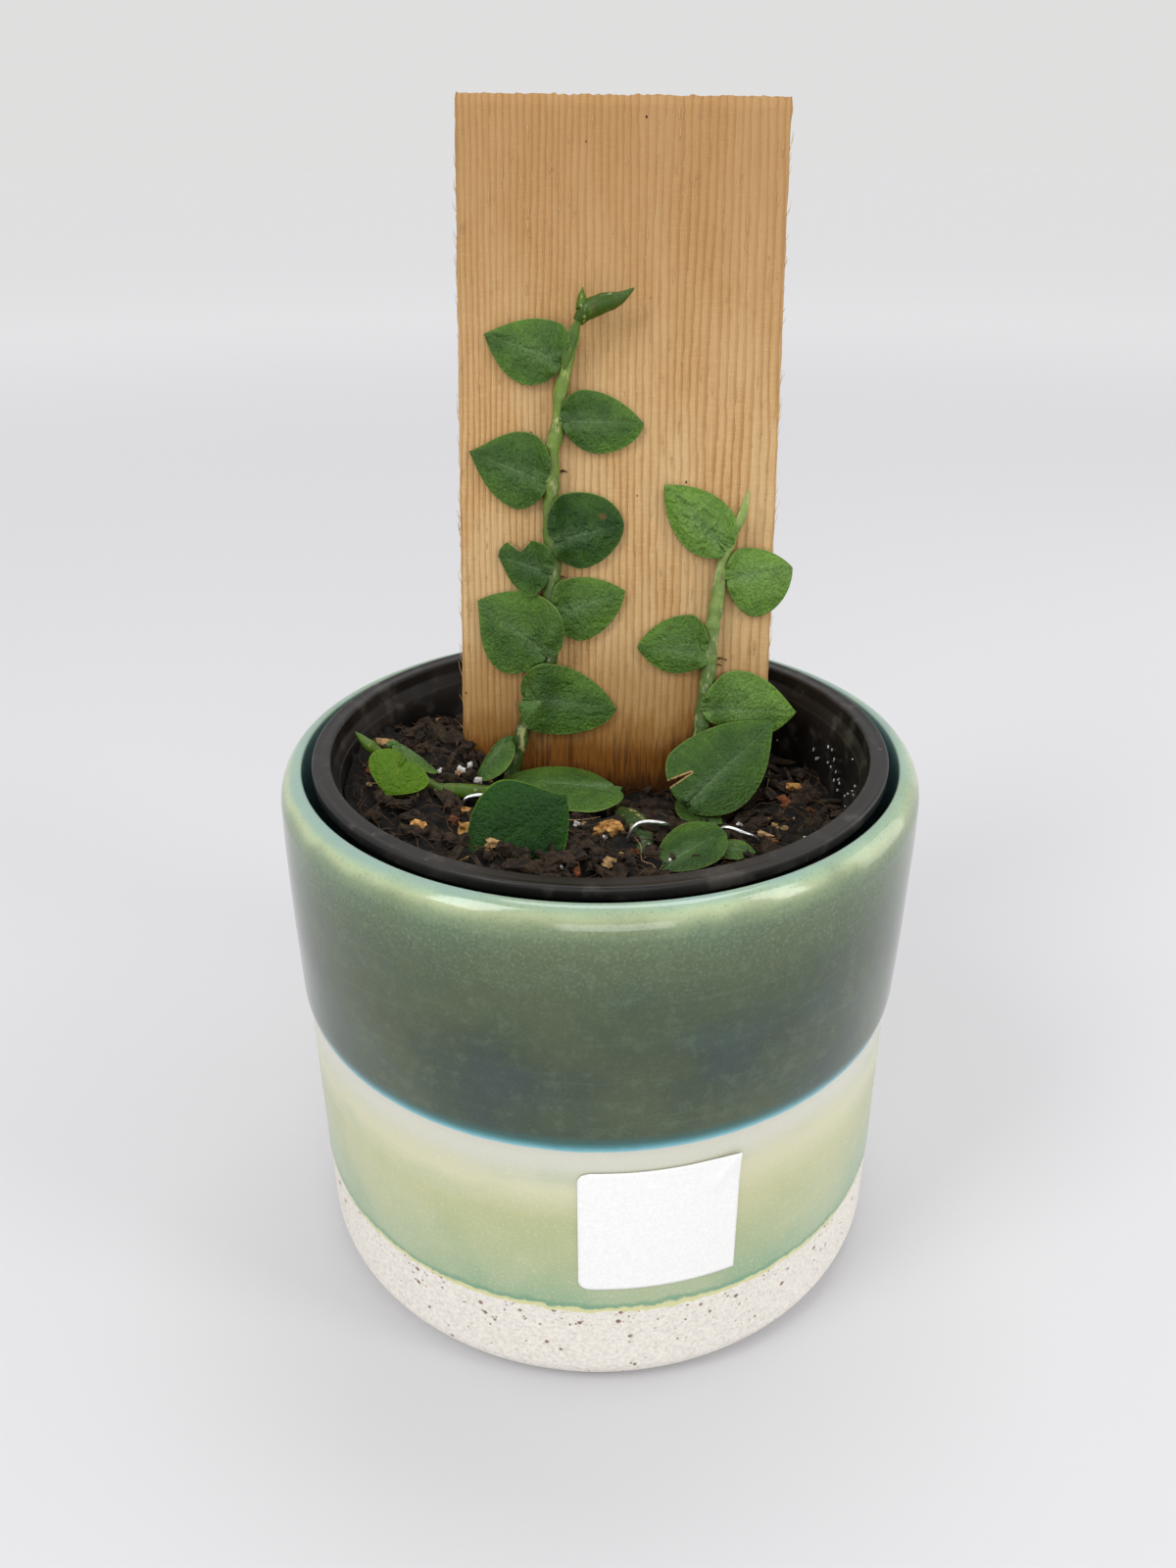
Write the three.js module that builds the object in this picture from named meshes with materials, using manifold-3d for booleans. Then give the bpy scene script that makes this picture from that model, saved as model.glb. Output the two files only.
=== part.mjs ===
// A shingle plant, Rhaphidophora hayi, climbing a leaning cedar board. Its plastic nursery
// pot stands inside a glazed stoneware cover pot. Units are millimetres, +Z is up, the origin
// is the middle of the cover pot's foot, and -Y is the side that the leaves face.
import * as THREE from 'three';
import { mergeVertices } from 'three/addons/utils/BufferGeometryUtils.js';
import Module from 'manifold-3d';

const wasm = await Module();
wasm.setup();

// Gap between neighbouring pieces, and round whatever stands in the soil
const GAP = 0.3;

// Cover pot: two cylinders with a small step at the glaze line, a rounded foot and lip
const COVER_RADIUS = 84.6;
const COVER_LOWER_RADIUS = 83.4;
const COVER_STEP_Z = 85;
const COVER_BULGE = 85;
const COVER_TOP = 150.3;
const COVER_LIP_ACROSS = 5.4;
const COVER_LIP_DOWN = 8;
const COVER_FOOT = 9;
const COVER_FLOOR = 6.5;
const COVER_INNER = 77.6;
const COVER_LIP_INNER = 78.8;
const COVER_SEGMENTS = 56;

// Nursery pot: a 6 inch pot, tapering to its base, with a ledge and a short skirt at the rim
const NURSERY_RIM = 76;
const NURSERY_LIP = 71;
const NURSERY_TOP = 152.3;
const NURSERY_SKIRT = 3.4;
const NURSERY_LEDGE = 69.8;
const NURSERY_LEDGE_Z = 145.5;
const NURSERY_BASE = 58.5;
const NURSERY_WALL = 1.5;
const NURSERY_BOTTOM = COVER_FLOOR + GAP;
const NURSERY_SEGMENTS = 44;
const NURSERY_OFFSET = [0.7, -0.7];
const DRAIN_HOLES = 8;
const DRAIN_RADIUS = 5;
const DRAIN_CIRCLE = 44;

// Cedar board: 3 1/2 by 5/8 inch, a hand's breadth into the soil, leaning away from the front
const BOARD_WIDTH = 88.9;
const BOARD_THICKNESS = 16;
const BOARD_UP = 160.6;
const BOARD_DOWN = 141.3;
const BOARD_PLACE = [5.3, 27, 150];
const BOARD_TURN = 0.59;
const BOARD_LEAN = 15;
const BOARD_ROLL = -0.885;

// Soil: its mean height, the slope from left to right, and the hollows in front of the board
const SOIL_HEIGHT = 136;
const SOIL_SLOPE = 0.11;
const HOLLOWS = [
  { x: 4, y: 16, across: 40, along: 24, depth: 11 },
  { x: 31, y: -1, across: 13, along: 11, depth: 3 },
];
const SOIL_RINGS = 9;
const BARK_CHIPS = 22;

// Stems, and the thickness of a leaf blade
const STEM_RADIUS = 2.2;
const STEM_OUT = 2.8;
const BLADE = 0.8;
const PETIOLE_RADIUS = 1.1;
const STATIONS = 9;
const RINGS = 3;

// Draping: the clearance of a blade over a stem, checked places along a face, and passes
const CLEAR = 0.4;
const SIDEWAYS = 0.5;
const DRAPE_STEPS = 5;
const DRAPE_PASSES = 12;

// Wire pins that hold the creeping stems down
const WIRE_RADIUS = 0.6;

// Blank label on the cover pot's lower wall
const LABEL = { from: -3.4, to: 24.4, bottom: 37.9, top: 77.2, thickness: 0.6, corner: 3 };

const material = (color, roughness, metalness = 0) =>
  new THREE.MeshStandardMaterial({ color, roughness, metalness });
const MATERIALS = {
  glaze: material(0x4f6f5c, 0.2),
  plastic: material(0x35302e, 0.55),
  cedar: material(0xc79f6b, 0.8),
  soil: material(0x241a13, 0.95),
  stem: material(0x7fa24a, 0.5),
  leaf: material(0x35603a, 0.55),
  limeLeaf: material(0x6f9a2c, 0.5),
  wire: material(0xc9cbcc, 0.3, 1),
  paper: material(0xf2f2f0, 0.7),
};

const radians = (degrees) => (degrees * Math.PI) / 180;
const point = (values) => new THREE.Vector3(...values);

// Seeded random numbers between 0 and 1
function randomFrom(seed) {
  let state = seed;
  return () => {
    state = (state * 1664525 + 1013904223) % 4294967296;
    return state / 4294967296;
  };
}

// A closed solid with shared corners, no empty faces, and its faces pointing out
function solid(geometry) {
  const bare = geometry.clone();
  bare.deleteAttribute('normal');
  bare.deleteAttribute('uv');
  const merged = mergeVertices(bare, 1e-4);
  const index = merged.getIndex();
  const faces = [];
  for (let i = 0; i < index.count; i += 3) {
    const corners = [index.getX(i), index.getX(i + 1), index.getX(i + 2)];
    if (new Set(corners).size === 3) faces.push(...corners);
  }
  merged.setIndex(faces);
  if (volume(merged) < 0) {
    for (let i = 0; i < faces.length; i += 3) [faces[i], faces[i + 1]] = [faces[i + 1], faces[i]];
    merged.setIndex(faces);
  }
  return merged;
}

function volume(geometry) {
  const place = geometry.getAttribute('position');
  const index = geometry.getIndex();
  const [a, b, c] = [new THREE.Vector3(), new THREE.Vector3(), new THREE.Vector3()];
  let sum = 0;
  for (let i = 0; i < index.count; i += 3) {
    a.fromBufferAttribute(place, index.getX(i));
    b.fromBufferAttribute(place, index.getX(i + 1));
    c.fromBufferAttribute(place, index.getX(i + 2));
    sum += a.dot(b.cross(c));
  }
  return sum / 6;
}

// Boolean work: a geometry in, a geometry out
function toManifold(geometry) {
  const closed = solid(geometry);
  return new wasm.Manifold(new wasm.Mesh({
    numProp: 3,
    vertProperties: new Float32Array(closed.getAttribute('position').array),
    triVerts: new Uint32Array(closed.getIndex().array),
  }));
}

function toGeometry(shape) {
  const mesh = shape.getMesh();
  const geometry = new THREE.BufferGeometry();
  geometry.setAttribute('position', new THREE.BufferAttribute(mesh.vertProperties, 3));
  geometry.setIndex(Array.from(mesh.triVerts));
  return geometry;
}

function cut(geometry, tools) {
  return tools.reduce((shape, tool) => shape.subtract(toManifold(tool)), toManifold(geometry));
}

function join(geometries) {
  return geometries.slice(1).reduce((shape, more) => shape.add(toManifold(more)),
    toManifold(geometries[0]));
}

// The biggest of the bodies that a cut leaves
function biggest(shape) {
  const bodies = shape.decompose();
  bodies.sort((a, b) => b.volume() - a.volume());
  return bodies[0];
}

// A body of revolution about Z from [radius, height] corners
function turned(profile, segments) {
  const points = profile.map(([radius, height]) => new THREE.Vector2(radius, height));
  return new THREE.LatheGeometry(points, segments).rotateX(Math.PI / 2);
}

// Corners on an arc about [x, y], from one angle to another
function arc([x, y], radius, from, to, steps) {
  return Array.from({ length: steps + 1 }, (_, i) => {
    const angle = radians(from + ((to - from) * i) / steps);
    return [x + radius * Math.cos(angle), y + radius * Math.sin(angle)];
  });
}

// A value from a list spread evenly over 0 to 1
function spread(list, fraction) {
  const place = Math.min(Math.max(fraction, 0), 1) * (list.length - 1);
  const i = Math.min(Math.floor(place), list.length - 2);
  return list[i] + (list[i + 1] - list[i]) * (place - i);
}

// A path whose two ends are moved outwards
function lengthened(path, by) {
  if (by === 0) return path;
  const moved = (end, next) => point(end).addScaledVector(
    point(end).sub(point(next)).normalize(), by).toArray();
  return [moved(path[0], path[1]), ...path.slice(1, -1), moved(path.at(-1), path.at(-2))];
}

// A closed round body along a smooth path, with its radius given by a list along the path
function sweep(path, radii, { sides = 8, steps = 12 } = {}) {
  const curve = new THREE.CatmullRomCurve3(path.map(point), false, 'centripetal');
  const frames = curve.computeFrenetFrames(steps, false);
  const places = [];
  const faces = [];
  for (let i = 0; i <= steps; i += 1) {
    const middle = curve.getPointAt(i / steps);
    const radius = spread(radii, i / steps);
    for (let k = 0; k < sides; k += 1) {
      const angle = (2 * Math.PI * k) / sides;
      const corner = middle.clone()
        .addScaledVector(frames.normals[i], radius * Math.cos(angle))
        .addScaledVector(frames.binormals[i], radius * Math.sin(angle));
      places.push(corner.x, corner.y, corner.z);
    }
  }
  const ring = (i, k) => i * sides + (k % sides);
  for (let i = 0; i < steps; i += 1) {
    for (let k = 0; k < sides; k += 1) {
      faces.push(ring(i, k), ring(i, k + 1), ring(i + 1, k + 1));
      faces.push(ring(i, k), ring(i + 1, k + 1), ring(i + 1, k));
    }
  }
  for (let k = 1; k < sides - 1; k += 1) {
    faces.push(ring(0, 0), ring(0, k + 1), ring(0, k));
    faces.push(ring(steps, 0), ring(steps, k), ring(steps, k + 1));
  }
  const geometry = new THREE.BufferGeometry();
  geometry.setAttribute('position', new THREE.Float32BufferAttribute(places, 3));
  geometry.setIndex(faces);
  return geometry;
}

// Places on the board: x across it, y up it, z out from its front face
const boardFrame = new THREE.Group();
boardFrame.position.set(...BOARD_PLACE);
boardFrame.rotateZ(radians(BOARD_TURN));
boardFrame.rotateX(radians(90 - BOARD_LEAN));
boardFrame.rotateZ(radians(BOARD_ROLL));
boardFrame.updateMatrixWorld(true);

const onBoard = (geometry) => geometry.clone().applyMatrix4(boardFrame.matrixWorld);

// Cover pot: floor, foot arc, lower wall, step, upper wall, lip and inside
function coverPot() {
  const foot = arc([COVER_LOWER_RADIUS - COVER_FOOT, COVER_FOOT], COVER_FOOT, -90, 0, 4);
  const lip = arc([0, 0], 1, 0, 90, 5).map(([across, up]) => [
    COVER_LIP_INNER + 0.6 + COVER_LIP_ACROSS * across,
    COVER_TOP + COVER_LIP_DOWN * (up - 1),
  ]);
  return turned([
    [0, 0],
    ...foot,
    [COVER_LOWER_RADIUS, COVER_STEP_Z - 4],
    [COVER_RADIUS, COVER_STEP_Z + 3],
    [COVER_BULGE, COVER_STEP_Z + 24],
    [COVER_BULGE, COVER_STEP_Z + 46],
    ...lip,
    [COVER_LIP_INNER, COVER_TOP - 0.6],
    [COVER_INNER, COVER_TOP - 16],
    [COVER_INNER - 0.6, COVER_FLOOR + 9],
    [COVER_INNER - 6, COVER_FLOOR],
    [0, COVER_FLOOR],
  ], COVER_SEGMENTS);
}

// Inner radius of the nursery pot's tapering wall at a height
function wallRadius(z) {
  const low = NURSERY_BOTTOM + NURSERY_WALL;
  const share = (z - low) / (NURSERY_LEDGE_Z - low);
  return NURSERY_BASE - NURSERY_WALL + (NURSERY_LEDGE - 0.7 - NURSERY_BASE + NURSERY_WALL) * share;
}

function nurseryPot() {
  const under = NURSERY_TOP - NURSERY_SKIRT;
  const low = NURSERY_BOTTOM + NURSERY_WALL;
  const outerLedge = NURSERY_LEDGE + NURSERY_WALL;
  const shell = turned([
    [0, NURSERY_BOTTOM],
    [NURSERY_BASE - 1, NURSERY_BOTTOM],
    [NURSERY_BASE, NURSERY_BOTTOM + 1],
    [wallRadius(NURSERY_LEDGE_Z - 2) + NURSERY_WALL, NURSERY_LEDGE_Z - 2],
    [outerLedge + 0.4, NURSERY_LEDGE_Z + 1],
    [NURSERY_RIM - NURSERY_WALL, under + 1.2],
    [NURSERY_RIM - NURSERY_WALL + 0.2, under],
    [NURSERY_RIM - 0.2, under],
    [NURSERY_RIM, NURSERY_TOP - 0.9],
    [NURSERY_RIM - 0.8, NURSERY_TOP],
    [NURSERY_LIP + 0.8, NURSERY_TOP],
    [NURSERY_LIP, NURSERY_TOP - 0.8],
    [NURSERY_LEDGE, NURSERY_LEDGE_Z + 0.4],
    [wallRadius(NURSERY_LEDGE_Z), NURSERY_LEDGE_Z],
    [NURSERY_BASE - NURSERY_WALL, low],
    [0, low],
  ], NURSERY_SEGMENTS);
  const holes = Array.from({ length: DRAIN_HOLES }, (_, i) => {
    const angle = (2 * Math.PI * i) / DRAIN_HOLES;
    return new THREE.CylinderGeometry(DRAIN_RADIUS, DRAIN_RADIUS, 6, 12).rotateX(Math.PI / 2)
      .translate(DRAIN_CIRCLE * Math.cos(angle), DRAIN_CIRCLE * Math.sin(angle), NURSERY_BOTTOM);
  });
  return toGeometry(cut(shell, holes));
}

// The board, or with a grow the slot that it needs, which goes on below it
function board(grow = 0) {
  const below = 10 * grow;
  const height = BOARD_UP + BOARD_DOWN + below;
  return new THREE.BoxGeometry(BOARD_WIDTH + 2 * grow, height + 2 * grow,
    BOARD_THICKNESS + 2 * grow)
    .translate(0, BOARD_UP - height / 2, -BOARD_THICKNESS / 2);
}

// Label: a slightly curved sheet on the lower wall, with round corners on its left
function label() {
  const inner = COVER_LOWER_RADIUS + GAP + 0.05;
  const columns = 8;
  const rows = [0, 0.08, 0.5, 0.92, 1];
  const height = LABEL.top - LABEL.bottom;
  const cornerAngle = (LABEL.corner / inner) * (180 / Math.PI);
  const places = [];
  const faces = [];
  for (const depth of [0, LABEL.thickness]) {
    for (const row of rows) {
      const inset = row === 0 || row === 1 ? cornerAngle : 0;
      for (let i = 0; i <= columns; i += 1) {
        const from = LABEL.from + inset;
        const angle = radians(from + ((LABEL.to - from) * i) / columns);
        places.push((inner + depth) * Math.sin(angle), -(inner + depth) * Math.cos(angle),
          LABEL.bottom + height * row);
      }
    }
  }
  const across = columns + 1;
  const sheet = rows.length * across;
  const edge = [];
  for (let i = 0; i < columns; i += 1) edge.push(i);
  for (let j = 0; j < rows.length - 1; j += 1) edge.push(j * across + columns);
  for (let i = columns; i > 0; i -= 1) edge.push((rows.length - 1) * across + i);
  for (let j = rows.length - 1; j > 0; j -= 1) edge.push(j * across);
  for (let j = 0; j < rows.length - 1; j += 1) {
    for (let i = 0; i < columns; i += 1) {
      const [a, b] = [j * across + i, (j + 1) * across + i];
      faces.push(a, b, a + 1, b, b + 1, a + 1);
      faces.push(sheet + a, sheet + a + 1, sheet + b, sheet + b, sheet + a + 1, sheet + b + 1);
    }
  }
  edge.forEach((a, i) => {
    const b = edge[(i + 1) % edge.length];
    faces.push(a, b, sheet + a, b, sheet + b, sheet + a);
  });
  const geometry = new THREE.BufferGeometry();
  geometry.setAttribute('position', new THREE.Float32BufferAttribute(places, 3));
  geometry.setIndex(faces);
  return geometry;
}

// Half of a leaf's edge, from the notch round the back lobe and the widest place to the tip.
// The half is [width, place of the widest spot along the midrib, depth of the lobe, fullness
// towards the tip].
function halfEdge(length, [width, widest, lobe, full], side) {
  const w = width * side;
  const wide = widest * length;
  const back = new THREE.CubicBezierCurve(
    new THREE.Vector2(0, 0),
    new THREE.Vector2(-lobe * 1.7, 0.1 * w),
    new THREE.Vector2(wide - 0.62 * (wide + lobe), w),
    new THREE.Vector2(wide, w),
  );
  const front = new THREE.CubicBezierCurve(
    new THREE.Vector2(wide, w),
    new THREE.Vector2(wide + 0.5 * (length - wide), w),
    new THREE.Vector2(length - (0.2 - 0.15 * full) * (length - wide), (0.26 + 0.25 * full) * w),
    new THREE.Vector2(length, 0),
  );
  const half = Math.ceil(STATIONS / 2);
  return Array.from({ length: STATIONS + 1 }, (_, j) =>
    (j < half ? back.getPoint(j / half) : front.getPoint((j - half) / (STATIONS - half))));
}

// A leaf's blade as a net: rays from the midrib to the edge, alike on both faces.
// Each corner is { x, y, out }, where out runs from 0 at the midrib to 1 at the edge.
function bladeNet(leaf, grow = 0) {
  const more = 2 * grow;
  const length = leaf.length + 2 * more;
  const corners = [{ x: 0, y: 0, out: 0 }, { x: length, y: 0, out: 0 }];
  const [notch, tip] = [0, 1];
  const start = 2;
  const rib = [];
  for (let j = 0; j <= STATIONS; j += 1) {
    if (j <= start) rib.push(notch);
    else if (j === STATIONS) rib.push(tip);
    else {
      rib.push(corners.length);
      corners.push({ x: (length * (j - start)) / (STATIONS - start), y: 0, out: 0 });
    }
  }
  const faces = [];
  const rims = [];
  for (const side of [1, -1]) {
    const [width, ...shape] = side > 0 ? leaf.left : leaf.right;
    const edge = halfEdge(length, [width + more, ...shape], side);
    const rows = rib.map((ribCorner, j) => {
      if (j === 0 || j === STATIONS) return null;
      const row = [ribCorner];
      for (let k = 1; k <= RINGS; k += 1) {
        const out = k / RINGS;
        const from = corners[ribCorner];
        row.push(corners.length);
        corners.push({
          x: from.x + (edge[j].x - from.x) * out,
          y: from.y + (edge[j].y - from.y) * out,
          out,
        });
      }
      return row;
    });
    for (let j = 1; j < STATIONS - 1; j += 1) {
      for (let k = 0; k < RINGS; k += 1) {
        const [a, b, c, d] = [rows[j][k], rows[j][k + 1], rows[j + 1][k + 1], rows[j + 1][k]];
        const quad = a === d ? [[a, b, c]] : [[a, b, c], [a, c, d]];
        quad.forEach((face) => faces.push(side > 0 ? [...face].reverse() : face));
      }
    }
    for (let k = 0; k < RINGS; k += 1) {
      const face = [rows[STATIONS - 1][k], rows[STATIONS - 1][k + 1], tip];
      faces.push(side > 0 ? face.reverse() : face);
    }
    const rim = [...rows[1], ...rows.slice(2, STATIONS).map((row) => row[RINGS]), tip];
    rims.push(rim);
  }
  const [leftRim, rightRim] = rims;
  const rim = [...rightRim, ...leftRim.slice(1, -1).reverse()];
  corners.forEach((corner) => {
    corner.x -= more;
  });
  return { corners, faces, rim };
}

// The blade's own form: a low dome that falls to the edge and the tip, with a grooved midrib
function domeHeight(leaf, { x, y, out }) {
  const along = Math.min(Math.max(x / leaf.length, 0), 1);
  const crest = Math.sin(Math.PI * Math.min(1, 0.16 + along * 0.84)) ** 0.6;
  const groove = leaf.groove * Math.max(0, 1 - Math.abs(y) / 2.2) * crest;
  return leaf.lift + leaf.dome * (1 - out * out) * crest + leaf.tilt * y - groove
    + leaf.bow * along * along;
}

// A closed blade between two heights, standing on its net
function bladeSolid({ corners, faces, rim }, heights, thickness) {
  const places = [];
  corners.forEach(({ x, y }, i) => places.push(x, y, heights[i]));
  corners.forEach(({ x, y }, i) => places.push(x, y, heights[i] + thickness));
  const count = corners.length;
  const index = [];
  faces.forEach(([a, b, c]) => {
    index.push(a, c, b);
    index.push(count + a, count + b, count + c);
  });
  rim.forEach((a, i) => {
    const b = rim[(i + 1) % rim.length];
    index.push(a, b, count + b, a, count + b, count + a);
  });
  const geometry = new THREE.BufferGeometry();
  geometry.setAttribute('position', new THREE.Float32BufferAttribute(places, 3));
  geometry.setIndex(index);
  return geometry;
}

const LEAF_FORM = { lift: 0.7, dome: 1.5, groove: 0.25, tilt: 0, bow: 0, cuts: [] };

// Wedges that are missing from a blade, each a triangle of [x, y] corners on the leaf
function wedge(corners) {
  const shape = new THREE.Shape(corners.map(([x, y]) => new THREE.Vector2(x, y)));
  return new THREE.ExtrudeGeometry(shape, { depth: 30, bevelEnabled: false }).translate(0, 0, -15);
}

// The highest face over a place on the board, from a flat list of triangle corners
function heightOver(triangles, x, y) {
  let top = -Infinity;
  for (const [a, b, c] of triangles) {
    const area = (b.x - a.x) * (c.y - a.y) - (c.x - a.x) * (b.y - a.y);
    if (Math.abs(area) < 1e-9) continue;
    const p = ((b.x - x) * (c.y - y) - (c.x - x) * (b.y - y)) / area;
    const q = ((c.x - x) * (a.y - y) - (a.x - x) * (c.y - y)) / area;
    const r = 1 - p - q;
    if (p < 0 || q < 0 || r < 0) continue;
    top = Math.max(top, p * a.z + q * b.z + r * c.z);
  }
  return top;
}

function trianglesOf(geometry) {
  const place = geometry.getAttribute('position');
  const index = geometry.getIndex();
  return Array.from({ length: index.count / 3 }, (_, i) => [0, 1, 2].map((k) =>
    new THREE.Vector3().fromBufferAttribute(place, index.getX(3 * i + k))));
}

// Places spread over a face, as shares of its three corners
const SHARES = [];
for (let i = 0; i <= DRAPE_STEPS; i += 1) {
  for (let k = 0; k <= DRAPE_STEPS - i; k += 1) {
    SHARES.push([i / DRAPE_STEPS, k / DRAPE_STEPS, (DRAPE_STEPS - i - k) / DRAPE_STEPS]);
  }
}

// Heights of a blade that lies over what is under it, keeping clear by the gap
function drapedHeights(leaf, net, under) {
  const [turnX, turnY] = [Math.cos(radians(leaf.angle)), Math.sin(radians(leaf.angle))];
  const onPlank = ({ x, y }) => [leaf.at[0] + x * turnX - y * turnY,
    leaf.at[1] + x * turnY + y * turnX];
  const reach = leaf.length + 8;
  const near = under.filter((corners) =>
    corners.some(({ x, y }) => Math.hypot(x - leaf.at[0], y - leaf.at[1]) < reach));
  const floorOver = (across, up) => Math.max(heightOver(near, across, up),
    ...[0, 1, 2, 3].map((k) => heightOver(near, across + SIDEWAYS * Math.cos((k * Math.PI) / 2),
      up + SIDEWAYS * Math.sin((k * Math.PI) / 2))));
  const rest = net.corners.map((corner) => Math.max(domeHeight(leaf, corner), CLEAR));
  const heights = [...rest];
  const checks = net.faces.flatMap((face) => SHARES.map((shares) => {
    const places = face.map((corner) => onPlank(net.corners[corner]));
    const [across, up] = [0, 1].map((axis) =>
      shares.reduce((sum, share, i) => sum + share * places[i][axis], 0));
    return { face, shares, floor: floorOver(across, up) + CLEAR };
  }));
  for (let k = 0; k < 8; k += 1) {
    const angle = (k * Math.PI) / 4;
    const [across, up] = onPlank({ x: 1.3 * Math.cos(angle), y: 1.3 * Math.sin(angle) });
    checks.push({ face: [0], shares: [1], floor: heightOver(near, across, up) + CLEAR + 0.1 });
  }
  const lifted = checks.filter(({ floor }) => floor > 0);
  const room = ({ face, shares, floor }) =>
    shares.reduce((sum, share, i) => sum + share * heights[face[i]], -floor);
  for (let pass = 0; pass < DRAPE_PASSES; pass += 1) {
    lifted.forEach((check) => {
      const lack = -room(check);
      if (lack <= 0) return;
      const strength = check.shares.reduce((sum, share) => sum + share * share, 0);
      check.shares.forEach((share, i) => {
        heights[check.face[i]] += lack * (share / strength);
      });
    });
  }
  for (let pass = 0; pass < DRAPE_PASSES; pass += 1) {
    heights.forEach((height, corner) => {
      const spare = lifted.reduce((least, check) => {
        const share = check.shares[check.face.indexOf(corner)];
        return share > 0 ? Math.min(least, room(check) / share) : least;
      }, height - rest[corner]);
      heights[corner] -= Math.max(0, spare) * 0.5;
    });
  }
  return heights;
}

// Stems on the board, as [across, up, out] with the place of their swollen nodes
const LEFT_STEM = [[-11.9, 102.2, 3.4], [-12.9, 99, 3], [-14.5, 92.6, 2.8], [-16.1, 85.5, 2.8],
  [-16.6, 77.9, 2.8], [-18.3, 70.1, 2.8], [-18.4, 62.2, 2.8], [-18.9, 55, 2.8],
  [-18.6, 46.3, 2.8], [-17.9, 38.3, 2.8], [-18.9, 30, 2.8], [-18.6, 14.9, 2.8],
  [-20.8, 7.5, 2.8], [-25.2, -4.5, 2.8], [-27.6, -11.6, 3], [-29.4, -18, 3.2],
  [-30.6, -27, 4]];
const RIGHT_STEM = [[33.6, 51.8, 3.2], [32.4, 49.4, 3], [30.9, 45, 2.8], [29.4, 38.5, 2.8],
  [28.6, 32, 2.8], [27.3, 22.2, 2.8], [26.6, 15, 2.8], [26.2, 7, 2.8], [25.3, -2, 2.8],
  [24.8, -10, 3], [24.4, -19, 3.4], [24.4, -29, 6], [24.2, -40, 10]];

// The swelling of a stem at its nodes, as radii spread along it
function stemRadii(count, top, bottom) {
  return Array.from({ length: count }, (_, i) => {
    const share = i / (count - 1);
    const node = i % 3 === 1 ? 0.28 : 0;
    return top + (bottom - top) * Math.min(1, share * 3) + node;
  });
}

const leftStem = (grow = 0) => sweep(lengthened(LEFT_STEM, grow),
  stemRadii(31, 1.7, STEM_RADIUS).map((radius) => radius + grow), { sides: 7, steps: 40 });
const rightStem = (grow = 0) => sweep(lengthened(RIGHT_STEM, grow),
  stemRadii(25, 1.5, STEM_RADIUS).map((radius) => radius + grow), { sides: 7, steps: 30 });

// Leaves on the board. at is the notch as [across, up], angle turns the midrib from level,
// and left and right are the halves as seen from the notch towards the tip.
const BOARD_LEAVES = [
  { name: 'left_leaf_1', at: [-16.8, 93.6], length: 21.4, angle: 160.9,
    left: [8.8, 0.36, 2.1, 0.2], right: [9.5, 0.15, 2.9, 0.1] },
  { name: 'left_leaf_2', at: [-15.3, 78], length: 22.1, angle: -0.9,
    left: [8.5, 0.24, 1.7, 0.3], right: [8.3, 0.43, 1, 1.1] },
  { name: 'left_leaf_3', at: [-20.9, 61.9], length: 22, angle: 158.7,
    left: [9.8, 0.23, 2.4, 0.1], right: [10.9, 0.32, 2, -0.2] },
  { name: 'left_leaf_4', at: [-16.4, 46], length: 18.7, angle: 13.9,
    left: [12, 0.23, 3.3, 1.5], right: [9.2, 0.29, 2.9, 0.9] },
  { name: 'left_leaf_6', at: [-16.4, 25.8], length: 19.8, angle: 18.6,
    left: [8.5, 0.18, 1.7, 0.4], right: [9.7, 0.24, 2.6, 0.6] },
  { name: 'left_leaf_7', at: [-20, 14.3], length: 24.4, angle: 143,
    left: [12.1, 0.33, 1.6, -0.1], right: [12.7, 0.3, 3.8, 0.5], lift: 1 },
  { name: 'left_leaf_5', at: [-19.6, 37.2], length: 14.5, angle: 163.4,
    left: [7.8, 0.22, 1.2, 0], right: [7.3, 0.24, 2, 2],
    cuts: [[[9, -3.7], [6.8, -8], [12.4, -4.8]]] },
  { name: 'left_leaf_8', at: [-25.4, 1.6], length: 25.9, angle: -6.9,
    left: [11, 0.16, 3.1, 0.5], right: [9.9, 0.25, 3, 1.1] },
  { name: 'right_leaf_1', at: [29.4, 44.7], length: 23.6, angle: 134.6,
    left: [7.7, 0.31, 2.9, 0.4], right: [8.6, 0.3, 2.6, 0.2], lift: 1, dome: 2.2 },
  { name: 'right_leaf_2', at: [31.1, 36.1], length: 18.6, angle: 9.1,
    left: [7.5, 0.25, 1.4, 0.5], right: [12.2, 0.38, 1.3, 1] },
  { name: 'right_leaf_3', at: [25.1, 15.2], length: 19.1, angle: 177.2,
    left: [6.7, 0.4, 2.3, 0.4], right: [10.2, 0.22, 1.4, 0.7] },
  { name: 'right_leaf_4', at: [25.4, -0.9], length: 27.1, angle: -2.7,
    left: [11.2, 0.35, 2.3, 0.1], right: [7.6, 0.58, 1.6, 0.2] },
];

// Where a stem runs at a height up the board
function stemAcross(stem, up) {
  const i = Math.max(1, stem.findIndex((place) => place[1] <= up));
  const [a, b] = [stem[i - 1], stem[i]];
  return a[0] + ((b[0] - a[0]) * (up - a[1])) / (b[1] - a[1]);
}

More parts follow.
